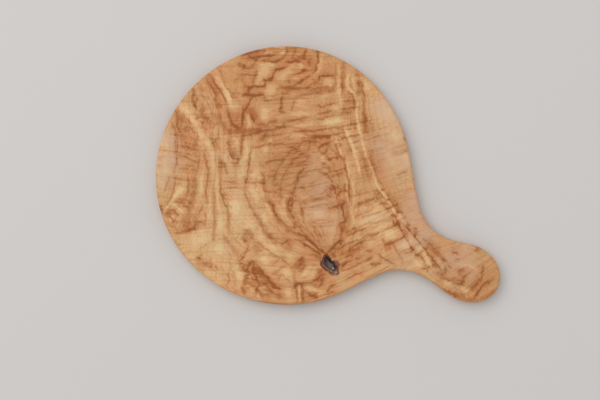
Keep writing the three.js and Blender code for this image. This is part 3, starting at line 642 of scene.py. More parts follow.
BOTTOM_STREAKS = (
    (0.4, 5, [(-42, -27), (-38, -38), (-33, -46), (-28, -54), (-24, -62), (-19, -69), (-9, -73)]),
    (0.4, 2, [(-21, -71), (-14, -74)]),
    (0.4, 8, [(-48, -65), (-43, -65), (-39, -69), (-36, -75)]),
    (0.5, 4, [(-48, -76), (-43, -76)]),
    (0.45, 2.5, [(-34, -77), (-28, -79), (-24, -83), (-21, -86), (-15, -90), (-8, -94), (-3, -96)]),
    (0.4, 2.5, [(-3, -96), (2, -101), (8, -107)]),
    (0.4, 3, [(-41, -79), (-43, -86), (-45, -92), (-51, -99)]),
    (0.3, 2, [(-3, -95), (-8, -99), (-14, -105)]),
    (0.4, 3, [(24, -94), (17, -99), (12, -105), (8, -110)]),
    (0.45, 7, [(22, -96), (19, -103), (14, -109)]),
    (0.4, 3, [(24, -102), (23, -108), (16, -113)]),
    (0.5, 3, [(30, -92), (36, -93), (40, -95), (46, -98)]),
    (0.55, 2.5, [(8, -65), (16, -67), (24, -71), (30, -77), (35, -81)]),
    (0.9, 3, [(30, -76), (34, -79), (37, -82), (40, -85), (45, -88), (49, -91)]),
    (0.7, 2.5, [(22, -78), (28, -82), (32, -84), (36, -87), (40, -90), (44, -94)]),
    (-0.35, 2.5, [(24, -75), (30, -80.5), (35, -84.5), (41, -89)]),
    (0.3, 12, [(1, -80), (11, -84)]),
    (0.5, 3, [(-4, -81), (2, -77), (6, -74)]),
    (0.3, 4, [(-15, -80), (-7, -78)]),
    (0.3, 4, [(11, -61), (5, -64), (1, -63)]),
    (0.35, 5, [(12, -54), (13, -63)]),
    (0.25, 4, [(14, -74), (22, -78), (26, -84)]),
    (0.35, 8, [(-33, -104), (-29, -112), (-24, -118)]),
    (0.65, 3, [(-30, -105), (-25, -112), (-20, -118), (-15, -124), (-9, -130), (-5, -133)]),
    (0.6, 3.5, [(-35, -104), (-36, -110), (-34, -115), (-31, -122)]),
    (0.6, 4, [(-41, -105), (-37, -100), (-32, -102)]),
    (0.45, 3, [(-45, -112), (-40, -106)]),
    (0.35, 3, [(-43, -121), (-40, -111)]),
    (0.55, 3, [(-31, -121), (-29, -127), (-32, -133), (-33, -140)]),
    (0.5, 5, [(-49, -129), (-46, -138)]),
    (0.4, 4, [(-16, -130), (-7, -131), (-3, -134)]),
    (0.35, 7, [(-7, -137), (-3, -144)]),
    (0.3, 8, [(-22, -130), (-16, -138)]),
    (0.5, 2.5, [(-7, -122), (-4, -117), (0, -116), (2, -119), (7, -124)]),
    (0.5, 3, [(14, -123), (14, -132), (15, -140), (16, -149)]),
    (0.5, 4, [(21, -125), (21.5, -134), (22, -142), (22, -150)]),
    (-0.4, 2.5, [(18, -127), (18, -138), (18.5, -149)]),
    (0.55, 4, [(11, -130), (17, -126), (22, -128)]),
    (0.4, 4, [(15, -125), (24, -125), (31, -124), (36, -122), (41, -118), (46, -115), (50, -112)]),
    (0.35, 7, [(35, -124), (43, -119)]),
    (0.6, 3, [(45, -119), (43, -127), (37, -132)]),
    (0.65, 3.5, [(28, -137.5), (34, -140.5), (40, -142)]),
    (0.35, 3, [(23, -134), (31, -137)]),
    (0.5, 3, [(50, -137), (53, -131), (60, -127)]),
    (0.4, 3, [(49, -139), (56, -136), (61, -135)]),
    (-0.3, 9, [(-31, -67), (-26, -75), (-18, -82), (-5, -91)]),
    (-0.25, 9, [(-1, -112), (8, -116), (17, -118)]),
    (-0.3, 6, [(31, -103), (26, -112), (19, -119)]),
    (-0.3, 6, [(39, -107), (32, -117)]),
    (-0.3, 5, [(23, -130), (32, -132), (43, -134)]),
    (-0.25, 8, [(-26, -94), (-19, -104)]),
    (-0.25, 8, [(4, -131), (6, -143)]),
    (-0.3, 10, [(-52, -111), (-50, -123)]),
    (0.35, 2.5, [(32, -58), (38, -68), (42, -79)]),
    (0.3, 2, [(41, -56), (46, -66), (49, -77)]),
    (0.25, 2, [(36, -60), (43, -72), (47, -82)]),
    (0.25, 2, [(26, -60), (31, -66), (36, -73)]),
    (0.3, 12, [(-36, -81), (-28, -91)]),
    (0.3, 8, [(-48, -69), (-42, -77)]),
    (0.35, 9, [(-50, -99), (-47, -113)]),
    (-0.2, 10, [(-43, -54), (-37, -63)]),
    (0.3, 9, [(-38, -104), (-31, -111), (-22, -119), (-12, -128)]),
    (0.4, 4, [(-42, -103), (-43, -110), (-44, -118), (-46, -127)]),
    (0.4, 3, [(-38, -117), (-35, -121), (-31, -121)]),
    (-0.3, 4, [(-31, -124.5), (-28, -126)]),
    (0.4, 5, [(12, -110), (12, -118), (13, -124)]),
    (0.35, 2.5, [(-16, -117), (-9, -112), (-2, -107), (3, -104)]),
    (0.3, 5, [(46, -119), (46, -124)]),
    (0.35, 3, [(-48, -126), (-40, -126), (-33, -130), (-28, -137), (-24, -144)]),
    (0.35, 3, [(-26, -122), (-20, -129), (-14, -135), (-8, -140)]),
    (-0.25, 4, [(-40, -131), (-33, -136), (-28, -143)]),
)
HANDLE_STREAKS = (
    (0.2, 4, [(154, -67), (158, -66)]),
    (0.3, 4, [(151, -68), (155, -74), (160, -80)]),
    (0.3, 3.5, [(162, -72), (166, -77)]),
    (0.3, 3, [(167, -79), (172, -80)]),
    (0.3, 4, [(161, -84), (168, -85)]),
    (0.2, 3, [(168, -79), (173, -84), (176, -89), (180, -93), (184, -97), (189, -101)]),
    (0.2, 5, [(182, -94), (188, -99)]),
    (0.35, 4, [(172, -91), (173, -98), (176, -104), (180, -109)]),
    (0.3, 3, [(174, -112), (180, -114), (184, -114)]),
    (0.25, 3, [(188, -103), (189, -109), (186, -114), (182, -119)]),
    (0.4, 2.5, [(157, -92), (162, -98), (165, -103), (171, -109)]),
    (0.35, 2.5, [(161, -107), (169, -112)]),
    (-0.35, 6, [(161, -86), (165, -93), (168, -100), (171, -106)]),
    (-0.3, 4, [(179, -99), (184, -105), (186, -111)]),
    (-0.25, 5, [(151, -97), (159, -105)]),
    (0.45, 4, [(195, -89), (204, -91)]),
    (0.25, 8, [(197, -97), (206, -100)]),
    (-0.3, 2.5, [(200, -99), (206, -104), (213, -104), (220, -107), (227, -112)]),
    (0.35, 8, [(201, -111), (211, -110)]),
    (0.25, 4, [(193, -120), (202, -122), (208, -126)]),
    (0.3, 4, [(205, -127), (211, -122)]),
    (0.35, 3, [(191, -103), (195, -109)]),
    (0.3, 4, [(217, -135), (221, -129), (225, -125), (230, -119), (231, -112)]),
    (0.6, 2.7, [(221, -144), (225, -137), (229, -131), (232, -127), (237, -124), (245, -120)]),
    (0.4, 4, [(232, -105), (231, -113)]),
    (0.4, 5, [(223, -85), (228, -87)]),
    (0.35, 5, [(177, -126), (188, -134), (200, -140), (212, -144), (225, -144)]),
    (0.3, 4, [(227, -144), (238, -140), (247, -131)]),
    (-0.3, 8, [(205, -133), (214, -133)]),
    (-0.25, 5, [(185, -124), (195, -126)]),
    (-0.25, 6, [(235, -131), (241, -128)]),
    (0.2, 14, [(164, -72), (175, -84), (184, -82)]),
    (0.25, 8, [(179, -103), (191, -115)]),
    (0.35, 5, [(207, -125), (212, -115)]),
    (0.35, 5, [(197, -136), (211, -140)]),
    (0.35, 3, [(163, -84), (169, -92), (175, -99), (180, -105), (184, -112)]),
    (0.2, 2.5, [(170, -84), (177, -92), (183, -99), (188, -106)]),
    (0.3, 2.5, [(176, -86), (184, -94), (191, -101)]),
    (0.4, 3.5, [(178, -117), (187, -120), (195, -123), (205, -127), (212, -131)]),
    (0.2, 9, [(228, -116), (222, -126), (217, -134)]),
    (0.3, 5, [(240, -124), (236, -132)]),
    (0.45, 2, [(133, -48), (141, -57), (149, -68), (156, -76), (163, -84), (169, -95), (175, -108)]),
    (0.45, 2, [(124, -37), (132, -53), (136, -62), (141, -71), (149, -84), (155, -93)]),
    (0.4, 2, [(159, -91), (164, -101)]),
    (0.4, 2, [(118, -65), (127, -60), (135, -54)]),
    (0.45, 2, [(124, -77), (131, -74), (138, -71), (147, -64)]),
    (0.45, 2, [(132, -91), (139, -88), (147, -85), (153, -82), (158, -79)]),
    (0.4, 2, [(153, -93), (158, -90), (163, -87)]),
)
STREAKS = (
    *LEFT_STREAKS,
    *((TOP_DEPTH * strength, width, route) for strength, width, route in TOP_STREAKS),
    *RIGHT_STREAKS,
    *NECK_STREAKS,
    *CORNER_STREAKS,
    *MIDDLE_STREAKS,
    *BOTTOM_STREAKS,
    *HANDLE_STREAKS,
)

# Warm patches are redder than the wood round them: a strength, a width and places along it.
WARM_PATCHES = (
    (0.8, 7, [(-92, 115), (-81, 99), (-76, 82)]),
    (0.8, 6, [(-87, 118), (-77, 103), (-71, 93)]),
    (0.6, 10, [(-79, 81), (-72, 78)]),
    (0.7, 7, [(-69, 52), (-50, 52), (-24, 53)]),
    (0.5, 11, [(-58, 73), (-54, 60)]),
    (0.6, 9, [(-65, 42), (-60, 28), (-53, 22)]),
    (0.7, 8, [(-52, 140), (-29, 146), (-8, 146)]),
    (0.6, 14, [(-41, 79), (-33, 64)]),
    (0.4, 10, [(5, 26), (4, 6)]),
    (0.7, 8, [(83, 118), (89, 116)]),
    (0.4, 9, [(93, 90), (94, 52)]),
    (0.8, 7, [(28, -136), (39, -141)]),
    (0.5, 10, [(35, -124), (47, -115)]),
    (0.7, 9, [(-127, -66), (-102, -61)]),
    (0.4, 17, [(-120, -51), (-107, -51)]),
    (0.6, 11, [(-37, -103), (-20, -120), (-6, -132)]),
    (0.5, 9, [(22, -96), (13, -109)]),
    (0.5, 12, [(4, 134), (24, 136), (30, 128)]),
    (0.4, 12, [(-112, 56), (-112, 38)]),
    (0.5, 8, [(118, -98), (138, -97)]),
    (0.5, 11, [(116, -86), (126, -83)]),
    (0.5, 10, [(72, -57), (65, -68)]),
    (0.8, 9, [(54, -91), (59, -96)]),
    (0.6, 10, [(47, -112), (39, -109)]),
    (0.6, 8, [(186, -133), (214, -145)]),
    (0.6, 9, [(219, -134), (230, -118)]),
    (0.5, 8, [(-139, -44), (-130, -42)]),
    (0.5, 7, [(14, 97), (38, 98), (61, 100)]),
)

# Marks on the knot: black bands, partly painted shade in its hollow; pale spots, partly
# painted glints and painted light on the hollow's lower right wall; brown patches; and the
# stain that has soaked from it into the wood.
# Black marks: the bark's own black, and painted shade on the upper wall of the knot's hollow.
BLACK_AND_SHADE_MARKS = (
    (0.6, 4.5, [(49, -92), (50, -94), (49, -98), (48.5, -102), (50, -106)]),
    (0.9, 4, [(52, -95), (53, -98), (56, -100), (58.5, -102), (59.5, -105), (59, -109)]),
    (0.7, 2.5, [(56, -110), (59, -111)]),
    (0.4, 3, [(64, -112), (64, -115), (62, -117)]),
    (0.35, 3, [(43.5, -100), (43.8, -104)]),
)
# Pale marks: the core's own pale grey, painted glints, and painted light on the lower right wall of the
# knot's hollow.
GLINT_AND_PALE_MARKS = (
    (0.5, 3, [(55.5, -103), (57, -104.5)]),
    (1.0, 2.8, [(57, -107), (58, -109)]),
    (0.9, 2.5, [(55, -110.5), (55.5, -112)]),
    (0.8, 4.5, [(59, -113), (61.5, -113.5)]),
    (0.35, 3, [(46.5, -98), (46.5, -103), (48.5, -107.5), (53, -109.5)]),
)
BROWN_MARKS = (
    (0.9, 3.5, [(43.8, -99), (44, -104), (46, -108), (50, -111), (54, -113)]),
    (1.0, 8, [(56, -114), (62, -115)]),
    (0.5, 4, [(47, -98), (47, -105), (50, -109), (54, -110.5)]),
    (0.5, 4, [(62, -106), (63.5, -111)]),
)
STAIN_MARKS = (
    (0.7, 4.5, [(61, -98), (62.5, -102), (63, -106), (62.5, -109)]),
    (0.6, 3, [(43, -97), (42.5, -101), (43.5, -106)]),
    (0.7, 3, [(44, -106), (47, -109), (50, -111)]),
    (0.5, 3, [(48, -92), (50, -91), (52, -92)]),
    (0.5, 3, [(57, -98), (60, -99)]),
    (0.7, 4, [(51, -112), (54, -114), (58, -117)]),
)

# Tints are wide changes of tone. Each has a darkening, a paling towards pink, or towards
# gold below 0, a reach and a place.
TINTS = (
    (-0.12, 0.20, 40, (-95, -75)),
    (-0.12, 0.20, 25, (-48, -50)),
    (-0.08, 0.20, 30, (-65, 2)),
    (0.02, -0.60, 50, (-10, 115)),
    (0.02, -0.40, 30, (55, 112)),
    (-0.17, 0.80, 32, (130, 78)),
    (-0.08, 0.60, 28, (142, 15)),
    (0.0, 0.40, 14, (107, 38)),
    (0.02, 0.60, 22, (148, -35)),
    (0.06, 0.50, 16, (165, -68)),
    (0.12, 0.00, 30, (10, 32)),
    (0.10, 0.05, 24, (0, -8)),
    (0.08, 0.50, 24, (38, -4)),
    (0.0, 0.45, 25, (42, -50)),
    (0.09, 0.10, 20, (102, 12)),
    (0.08, 0.00, 20, (74, -25)),
    (-0.20, 0.25, 20, (105, -48)),
    (-0.10, 0.35, 26, (145, -88)),
    (-0.06, 0.05, 17, (-22, -98)),
    (-0.14, 0.00, 15, (3, -100)),
    (0.08, -0.20, 14, (28, -101)),
    (-0.10, 0.10, 14, (72, -122)),
    (-0.09, 0.05, 17, (75, 50)),
    (0.08, -0.20, 15, (125, -25)),
    (-0.08, 0.05, 20, (-76, 32)),
    (0.05, -0.30, 20, (-48, 52)),
    (-0.10, 0.10, 14, (-75, -122)),
    (0.06, -0.05, 18, (28, -72)),
    (-0.04, 0.05, 16, (-50, -101)),
    (-0.08, 0.00, 16, (-48, 2)),
    (0.07, 0.00, 14, (76, -50)),
    (-0.06, 0.05, 14, (100, -52)),
    (0.06, -0.25, 14, (100, 50)),
    (-0.06, 0.00, 16, (25, 100)),
    (-0.06, 0.10, 15, (125, -75)),
    (0.05, -0.15, 14, (100, 0)),
    (-0.06, 0.00, 16, (10, -128)),
    (0.06, -0.20, 15, (52, -122)),
    (0.01, -0.15, 40, (0, -125)),
    (0.02, 0.50, 28, (203, -98)),
    (0.10, 0.20, 25, (232, -122)),
    (-0.10, 0.25, 15, (-142, 38)),
    (-0.10, 0.60, 15, (-143, 5)),
    (0.02, 0.60, 9, (-131, 42)),
    (0.0, 0.50, 10, (-140, -12)),
    (0.02, 0.60, 9, (-132, 18)),
    (-0.07, -0.30, 18, (-102, -93)),
    (-0.06, -0.30, 18, (-76, -116)),
    (-0.08, -0.35, 16, (-60, 110)),
    (-0.08, 0.05, 16, (-98, 82)),
    (-0.10, 0.10, 14, (150, -75)),
    (-0.07, 0.00, 14, (76, -76)),
    (-0.06, 0.00, 12, (102, -26)),
    (0.06, 0.00, 12, (52, -98)),
    (0.05, 0.00, 14, (-25, -25)),
    (0.05, -0.10, 18, (0, -65)),
    (0.05, 0.00, 14, (-100, -76)),
    (0.05, 0.00, 12, (-76, 126)),
)


# Shapes read from the frame


def points_of(node):
    """A node's vertices, in millimetres."""
    return np.array([v.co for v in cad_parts[node].data.vertices]) / MM


def wall_heights(points):
    """The foot and head of the upright wall, which is where the board is widest."""
    widest = points[points[:, 1] > points[:, 1].max() - WIDEST]
    return widest[:, 2].min(), widest[:, 2].max()


def wall_loop(node, height):
    """The plan of the wall at one height, anticlockwise."""
    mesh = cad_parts[node].data
    places = points_of(node)
    neighbours = {}
    for edge in mesh.edges:
        ends = places[list(edge.vertices)]
        if np.all(np.abs(ends[:, 2] - height) < LEVEL):
            a, b = (tuple(np.round(end[:2], PLAN_DIGITS)) for end in ends)
            if a != b:
                neighbours.setdefault(a, set()).add(b)
                neighbours.setdefault(b, set()).add(a)
    start = max(neighbours)
    loop = [start]
    step = max(neighbours[start], key=lambda spot: spot[1])
    while step != start:
        loop.append(step)
        step = next(spot for spot in neighbours[step] if spot != loop[-2])
    return np.array(loop)


def ring_about(points, centre, height):
    """The points at one height near a centre, by their direction from it."""
    level = points[np.abs(points[:, 2] - height) < LEVEL]
    near = level[np.linalg.norm(level[:, :2] - centre, axis=1) < KNOT_REACH, :2]
    near = np.unique(np.round(near, PLAN_DIGITS), axis=0)
    turn = np.arctan2(near[:, 1] - centre[1], near[:, 0] - centre[0])
    return near[np.argsort(turn)]


def resampled(loop, count):
    """A closed loop redrawn as a smooth curve with evenly spaced points."""
    before = np.roll(loop, 1, axis=0)
    after = np.roll(loop, -1, axis=0)
    run_in = np.linalg.norm(loop - before, axis=1)[:, None]
    run_out = np.linalg.norm(after - loop, axis=1)[:, None]
    slope = (loop - before) / run_in * run_out + (after - loop) / run_out * run_in
    slope /= run_in + run_out
    share = np.linspace(0, 1, CURVE_STEPS, endpoint=False)[None, :, None]
    start, end = loop[:, None], after[:, None]
    lead, trail = (slope * run_out)[:, None], (np.roll(slope, -1, axis=0) * run_out)[:, None]
    curve = (
        (2 * share**3 - 3 * share**2 + 1) * start
        + (share**3 - 2 * share**2 + share) * lead
        + (3 * share**2 - 2 * share**3) * end
        + (share**3 - share**2) * trail
    ).reshape(-1, 2)
    closed = np.vstack([curve, curve[:1]])
    along = np.r_[0, np.cumsum(np.linalg.norm(np.diff(closed, axis=0), axis=1))]
    places = np.linspace(0, along[-1], count, endpoint=False)
    return np.column_stack([np.interp(places, along, closed[:, i]) for i in (0, 1)])


def loop_length(loop):
    return np.linalg.norm(loop - np.roll(loop, 1, axis=0), axis=1).sum()


def drawn_in(loop, inset):
    """An anticlockwise loop moved inwards."""
    ahead = np.roll(loop, -1, axis=0) - np.roll(loop, 1, axis=0)
    ahead /= np.linalg.norm(ahead, axis=1)[:, None]
    return loop + inset * np.column_stack([-ahead[:, 1], ahead[:, 0]])


def inside(points, loop):
    """Which points lie within a closed loop."""
    odd = np.zeros(len(points), bool)
    x, y = points[:, 0], points[:, 1]
    for (ax, ay), (bx, by) in zip(loop, np.roll(loop, -1, axis=0)):
        if ay != by:
            crosses = (ay > y) != (by > y)
            odd ^= crosses & (x < (bx - ax) * (y - ay) / (by - ay) + ax)
    return odd


def distance_to(points, loop):
    """How far each point is from the nearest point of a loop."""
    nearest = np.full(len(points), np.inf)
    for spot in loop:
        nearest = np.minimum(nearest, np.hypot(*(points - spot).T))
    return nearest


def honeycomb(low, high, spacing):
    """Points in staggered rows over a rectangle."""
    rows = np.arange(low[1], high[1], spacing * math.sqrt(3) / 2)
    cells = []
    for i, y in enumerate(rows):
        x = np.arange(low[0] + (i % 2) * spacing / 2, high[0], spacing)
        cells.append(np.column_stack([x, np.full(len(x), y)]))
    return np.vstack(cells)


board_points = points_of("board")
BOARD_TOP = board_points[:, 2].max()
WALL_FOOT, WALL_HEAD = wall_heights(board_points)
ROUNDOVER = WALL_FOOT
wall = wall_loop("board", WALL_FOOT)
outline = resampled(wall, int(loop_length(wall) / RIM_SPACING))

bark_low, bark_high = (np.array(corner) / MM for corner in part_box("knot_bark"))
KNOT_CENTRE = ((bark_low + bark_high) / 2)[:2]
POCKET_FLOOR = bark_low[2] - KNOT_GAP
mouth = resampled(ring_about(board_points, KNOT_CENTRE, BOARD_TOP), KNOT_COLUMNS)
pocket_foot = resampled(ring_about(board_points, KNOT_CENTRE, POCKET_FLOOR), KNOT_COLUMNS)


def pocket_ring(height, inset):
    """The knot's pocket at one height, drawn in towards its middle."""
    share = (height - POCKET_FLOOR) / (BOARD_TOP - POCKET_FLOOR)
    ring = pocket_foot + share * (mouth - pocket_foot)
    middle = ring.mean(axis=0)
    reach = np.linalg.norm(ring - middle, axis=1)[:, None]
    return middle + (ring - middle) * (1 - inset / reach)


# Meshes


def add_mesh(name, points, faces):
    """A smooth shaded object of points in millimetres."""
    mesh = bpy.data.meshes.new(name)
    mesh.from_pydata((np.asarray(points) * MM).tolist(), [], faces)
    mesh.shade_smooth()
    piece = bpy.data.objects.new(name, mesh)
    bpy.context.scene.collection.objects.link(piece)
    return piece


def band(low, high, count):
    """Quads between two rings of points, whose first indices are given."""
    quads = []
    for i in range(count):
        j = (i + 1) % count
        quads.append((low + i, low + j, high + j, high + i))
    return quads


def at_height(plan, height):
    return np.column_stack([plan, np.broadcast_to(height, len(plan))])


def rim_rings():
    """Inset and height of each ring of the rim, from the back to the serving face."""
    quarter = np.linspace(0, math.pi / 2, ROUNDOVER_STEPS + 1)
    insets = ROUNDOVER * (1 - np.sin(quarter))
    drops = ROUNDOVER * (1 - np.cos(quarter))
    climb = np.linspace(WALL_FOOT, WALL_HEAD, WALL_STEPS + 1)[1:-1]
    rings = list(zip(insets, drops))
    rings += [(0, height) for height in climb]
    rings += list(zip(insets, BOARD_TOP - drops))[::-1]
    return rings


def face_points(rim, spacing, hole):
    """Points spread over a face, inside its rim and round a hole."""
    grid = honeycomb(rim.min(axis=0), rim.max(axis=0), spacing)
    grid = grid[inside(grid, rim)]
    grid = grid[distance_to(grid, rim) > EDGE_SHARE * spacing]
    if hole is None:
        return grid
    away = distance_to(grid, hole)
    coarse = grid[(away > KNOT_MARGIN) & ~inside(grid, hole)]
    low, high = hole.min(axis=0) - KNOT_MARGIN, hole.max(axis=0) + KNOT_MARGIN
    fine = honeycomb(low, high, KNOT_SPACING)
    away = distance_to(fine, hole)
    clear = (away > EDGE_SHARE * KNOT_SPACING) & (away < KNOT_MARGIN)
    fine = fine[clear & ~inside(fine, hole)]
    return np.vstack([coarse, fine])


def face_triangles(loops, spread):
    """A face between closed loops, with points spread over it; corners index loops, then spread."""
    plan = np.vstack([*loops, spread])
    ties = []
    start = 0
    for loop in loops:
        ties += [(start + i, start + (i + 1) % len(loop)) for i in range(len(loop))]
        start += len(loop)
    filled_hull = 0
    found = delaunay_2d_cdt([Vector(p) for p in plan], ties, [], filled_hull, WELD)
    corners = np.array(found[2])
    middles = plan[corners].mean(axis=1)
    kept = inside(middles, loops[0])
    for hole in loops[1:]:
        kept &= ~inside(middles, hole)
    return corners[kept]


def board_piece():
    """The plank, with its rounded rim and the pocket of the knot."""
    rings = rim_rings()
    count = len(outline)
    parts = [at_height(drawn_in(outline, inset), height) for inset, height in rings]
    faces = []
    for i in range(len(rings) - 1):
        faces += band(i * count, (i + 1) * count, count)

    back_rim, face_rim = parts[0][:, :2], parts[-1][:, :2]
    made = len(rings) * count
    back_spread = face_points(back_rim, BACK_SPACING, None)
    back = face_triangles([back_rim], back_spread)
    back = np.where(back < count, back, back - count + made)
    faces += back[:, ::-1].tolist()
    parts.append(at_height(back_spread, 0))
    made += len(back_spread)

    spread = face_points(face_rim, FACE_SPACING, mouth)
    top = face_triangles([face_rim, mouth], spread)
    top = np.where(top < count, top + (len(rings) - 1) * count, top - count + made)
    faces += top.tolist()
    parts += [at_height(mouth, BOARD_TOP), at_height(spread, BOARD_TOP)]
    ring = made
    made += len(mouth) + len(spread)

    for height in np.linspace(BOARD_TOP, POCKET_FLOOR, POCKET_STEPS + 1)[1:]:
        parts.append(at_height(pocket_ring(height, 0), height))
        faces += band(ring, made, KNOT_COLUMNS)
        ring = made
        made += KNOT_COLUMNS
    faces.append(tuple(range(ring, ring + KNOT_COLUMNS)))
    points = np.vstack(parts)
    piece = add_mesh("board_wood", points, faces)
    figure(piece, points)
    return piece


def ring_noise(ring, level, pitch):
    """Noise at each point of a ring, from -1 to 1."""
    return np.array([noise.noise(Vector((x, y, level)) * pitch) for x, y in ring])


def bark_piece():
    """The ring of ingrown bark, ragged along its crest."""
    foot = POCKET_FLOOR + KNOT_GAP
    crest = bark_high[2]
    rows = [(foot, 0), (0.5 * (foot + crest), 0)]
    rows += [(crest - drop, inset) for drop, inset in BARK_BROW]
    rows.append((foot, BARK_WALL))
    parts = []
    faces = []
    for i, (height, inset) in enumerate(rows):
        ring = pocket_ring(height, KNOT_GAP + inset)
        tears = BARK_TEARS if height > foot else 0
        ragged = ring_noise(ring, height, BARK_TEAR_PITCH) - BARK_SUNK
        parts.append(at_height(ring, height + tears * ragged))
        faces += band(i * KNOT_COLUMNS, (i + 1) % len(rows) * KNOT_COLUMNS, KNOT_COLUMNS)
    points = np.vstack(parts)
    piece = add_mesh("bark_ring", points, faces)
    knot_figure(piece, points)
    return piece


def core_piece():
    """The stub of dead branch inside the bark, crowned and lumpy on top."""
    foot = POCKET_FLOOR + KNOT_GAP
    top = np.array(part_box("knot_core")[1]) / MM
    shoulder = top[2] - STUB_SHOULDER
    inset = BARK_WALL + 2 * KNOT_GAP
    sides = (foot, 0.5 * (foot + shoulder))
    parts = [at_height(pocket_ring(height, inset), height) for height in sides]
    rim = pocket_ring(shoulder, inset)
    middle = rim.mean(axis=0)
    for i in range(STUB_RINGS):
        share = 1 - i / STUB_RINGS
        ring = middle + (rim - middle) * share
        crown = shoulder + STUB_CROWN * math.cos(share * math.pi / 2)
        lumps = STUB_LUMPS if i > 0 else 0
        rough = ring_noise(ring, STUB_LUMP_LEVEL, STUB_LUMP_PITCH)
        parts.append(at_height(ring, crown + lumps * rough))
    faces = []
    for i in range(len(parts) - 1):
        faces += band(i * KNOT_COLUMNS, (i + 1) * KNOT_COLUMNS, KNOT_COLUMNS)
    last = (len(parts) - 1) * KNOT_COLUMNS
    faces.append(tuple(range(last, last + KNOT_COLUMNS)))
    faces.append(tuple(range(KNOT_COLUMNS))[::-1])
    points = np.vstack(parts)
    piece = add_mesh("branch_stub", points, faces)
    knot_figure(piece, points)
    return piece


# Figure over the pieces


def smooth_line(places, step):
    """Points about one step apart on a smooth curve through the places."""
    knots = np.array(places, float)
    padded = np.vstack([2 * knots[0] - knots[1], knots, 2 * knots[-1] - knots[-2]])
    pieces = []
    for a, b, c, d in zip(padded, padded[1:], padded[2:], padded[3:]):
        count = max(2, round(np.linalg.norm(c - b) / step))
        share = np.linspace(0, 1, count, endpoint=False)[:, None]
        bend = 2 * a - 5 * b + 4 * c - d + share * (3 * b - 3 * c + d - a)
        pieces.append(b + 0.5 * share * (c - a + share * bend))
    return np.vstack([*pieces, knots[-1:]])


def plate_pull(gaps):
    """How strongly a thin plate answers to a point at each distance."""
    return gaps**2 * np.log(gaps + GUIDE_TINY)


def field_over(places, guides):
    """The value at each place of a thin plate bent through the guide lines."""
    lines = [smooth_line(line, GUIDE_STEP) for value, line in guides]
    spots = np.vstack(lines)
    values = np.concatenate([np.full(len(line), guide[0]) for line, guide in zip(lines, guides)])
    flat = np.column_stack([np.ones(len(spots)), spots])
    pulls = plate_pull(np.linalg.norm(spots[:, None] - spots, axis=2))
    pulls += GUIDE_EASE * np.eye(len(spots))
    system = np.block([[pulls, flat], [flat.T, np.zeros((3, 3))]])
    weights = np.linalg.solve(system, np.r_[values, 0, 0, 0])
    field = weights[-3] + places @ weights[-2:]
    for spot, weight in zip(spots, weights):
        field += weight * plate_pull(np.hypot(*(places - spot).T))
    return field


def strokes_over(places, strokes):
    """The sum at each place of strokes with a strength, a width and places along them."""
    marks = np.zeros(len(places))
    for strength, width, route in strokes:
        curve = smooth_line(route, STROKE_STEP)
        reach = 2 * width + 2 * HALO
        low, high = curve.min(axis=0) - reach, curve.max(axis=0) + reach
        near = np.flatnonzero(np.all((places > low) & (places < high), axis=1))
        gaps = np.linalg.norm(places[near, None] - curve, axis=2)
        closest = gaps.argmin(axis=1)
        share = closest / (len(curve) - 1)
        taper = np.clip(STROKE_TIP + STROKE_TAPER * np.minimum(share, 1 - share), 0, 1)
        gap = gaps[np.arange(len(near)), closest]
        line = np.exp(-((STROKE_EDGE * gap / width) ** 3))
        halo = np.exp(-((gap / (0.5 * width + HALO)) ** 2))
        marks[near] += strength * taper * (line + HALO_SHARE * (halo - line))
    return marks


def widened(strength, width, route):
    """A streak spread wide, no heavier than it was."""
    wide = width + GLOW_REACH
    return strength * width / wide, wide, route


def tints_over(places):
    """The darkening and the paling at each place."""
    dark = np.zeros(len(places))
    pale = np.zeros(len(places))
    for darkening, paling, reach, spot in TINTS:
        share = np.exp(-np.sum((places - np.array(spot)) ** 2, axis=1) / reach**2)
        dark += TINT_DEPTH * darkening * share
        pale += paling * share
    return dark, pale


def wander(places, wavelength, turn):
    """A smooth irregular wave over the places, about one in height."""
    wave = np.zeros(len(places))
    for i in range(WAVE_COUNT):
        heading = turn + i * WAVE_HEADING
        pace = 2 * math.pi / (wavelength * (WAVE_SHORTEST + WAVE_GROWTH * i))
        along = places @ (math.cos(heading), math.sin(heading))
        wave += np.sin(pace * along + WAVE_PHASE * i * turn)
    return wave / WAVE_PEAK


def wobble(places, waves):
    """How far such waves move the places, across and up."""
    wavelength, turns = waves
    return np.column_stack([wander(places, wavelength, turn) for turn in turns])


def grain_places(points):
    """Where the grain at each point of the board comes up to the serving face."""
    depth = BOARD_TOP - points[:, 2]
    u, v = to_upright(points[:, 0], points[:, 1])
    places = np.column_stack([u, v]) - FIGURE_ORIGIN + depth[:, None] * GRAIN_LEAN
    return places + GRAIN_STRAY * depth[:, None] * wobble(places, STRAY_WAVES)


def add_attribute(piece, name, values):
    layer = piece.data.attributes.new(name, "FLOAT", "POINT")
    layer.data.foreach_set("value", np.asarray(values, np.float32))


def figure(piece, points):
    """Give the wood its rings, curl, streaks, tints and the stain round the knot."""
    places = grain_places(points)
    jitter = wobble(places, LONG_WAVES) + SHORT_SHARE * wobble(places, SHORT_WAVES)
    streaked = places + STREAK_WOBBLE * jitter
    warmed = places + WARM_WOBBLE * jitter
    dark, pale = tints_over(places)
    glow = strokes_over(places, [widened(*streak) for streak in STREAKS])
    rim = np.exp(-distance_to(points[:, :2], mouth) / STAIN_REACH)
    add_attribute(piece, "ring", field_over(places, RING_GUIDES))
    add_attribute(piece, "curl", field_over(places, CURL_GUIDES))
    add_attribute(piece, "streak", strokes_over(streaked, STREAKS))
    add_attribute(piece, "warm", strokes_over(warmed, WARM_PATCHES))
    add_attribute(piece, "dark", dark)
    add_attribute(piece, "glow", dark + glow)
    add_attribute(piece, "pale", pale)
    add_attribute(piece, "stain", strokes_over(streaked, STAIN_MARKS) + STAIN_RIM * rim)


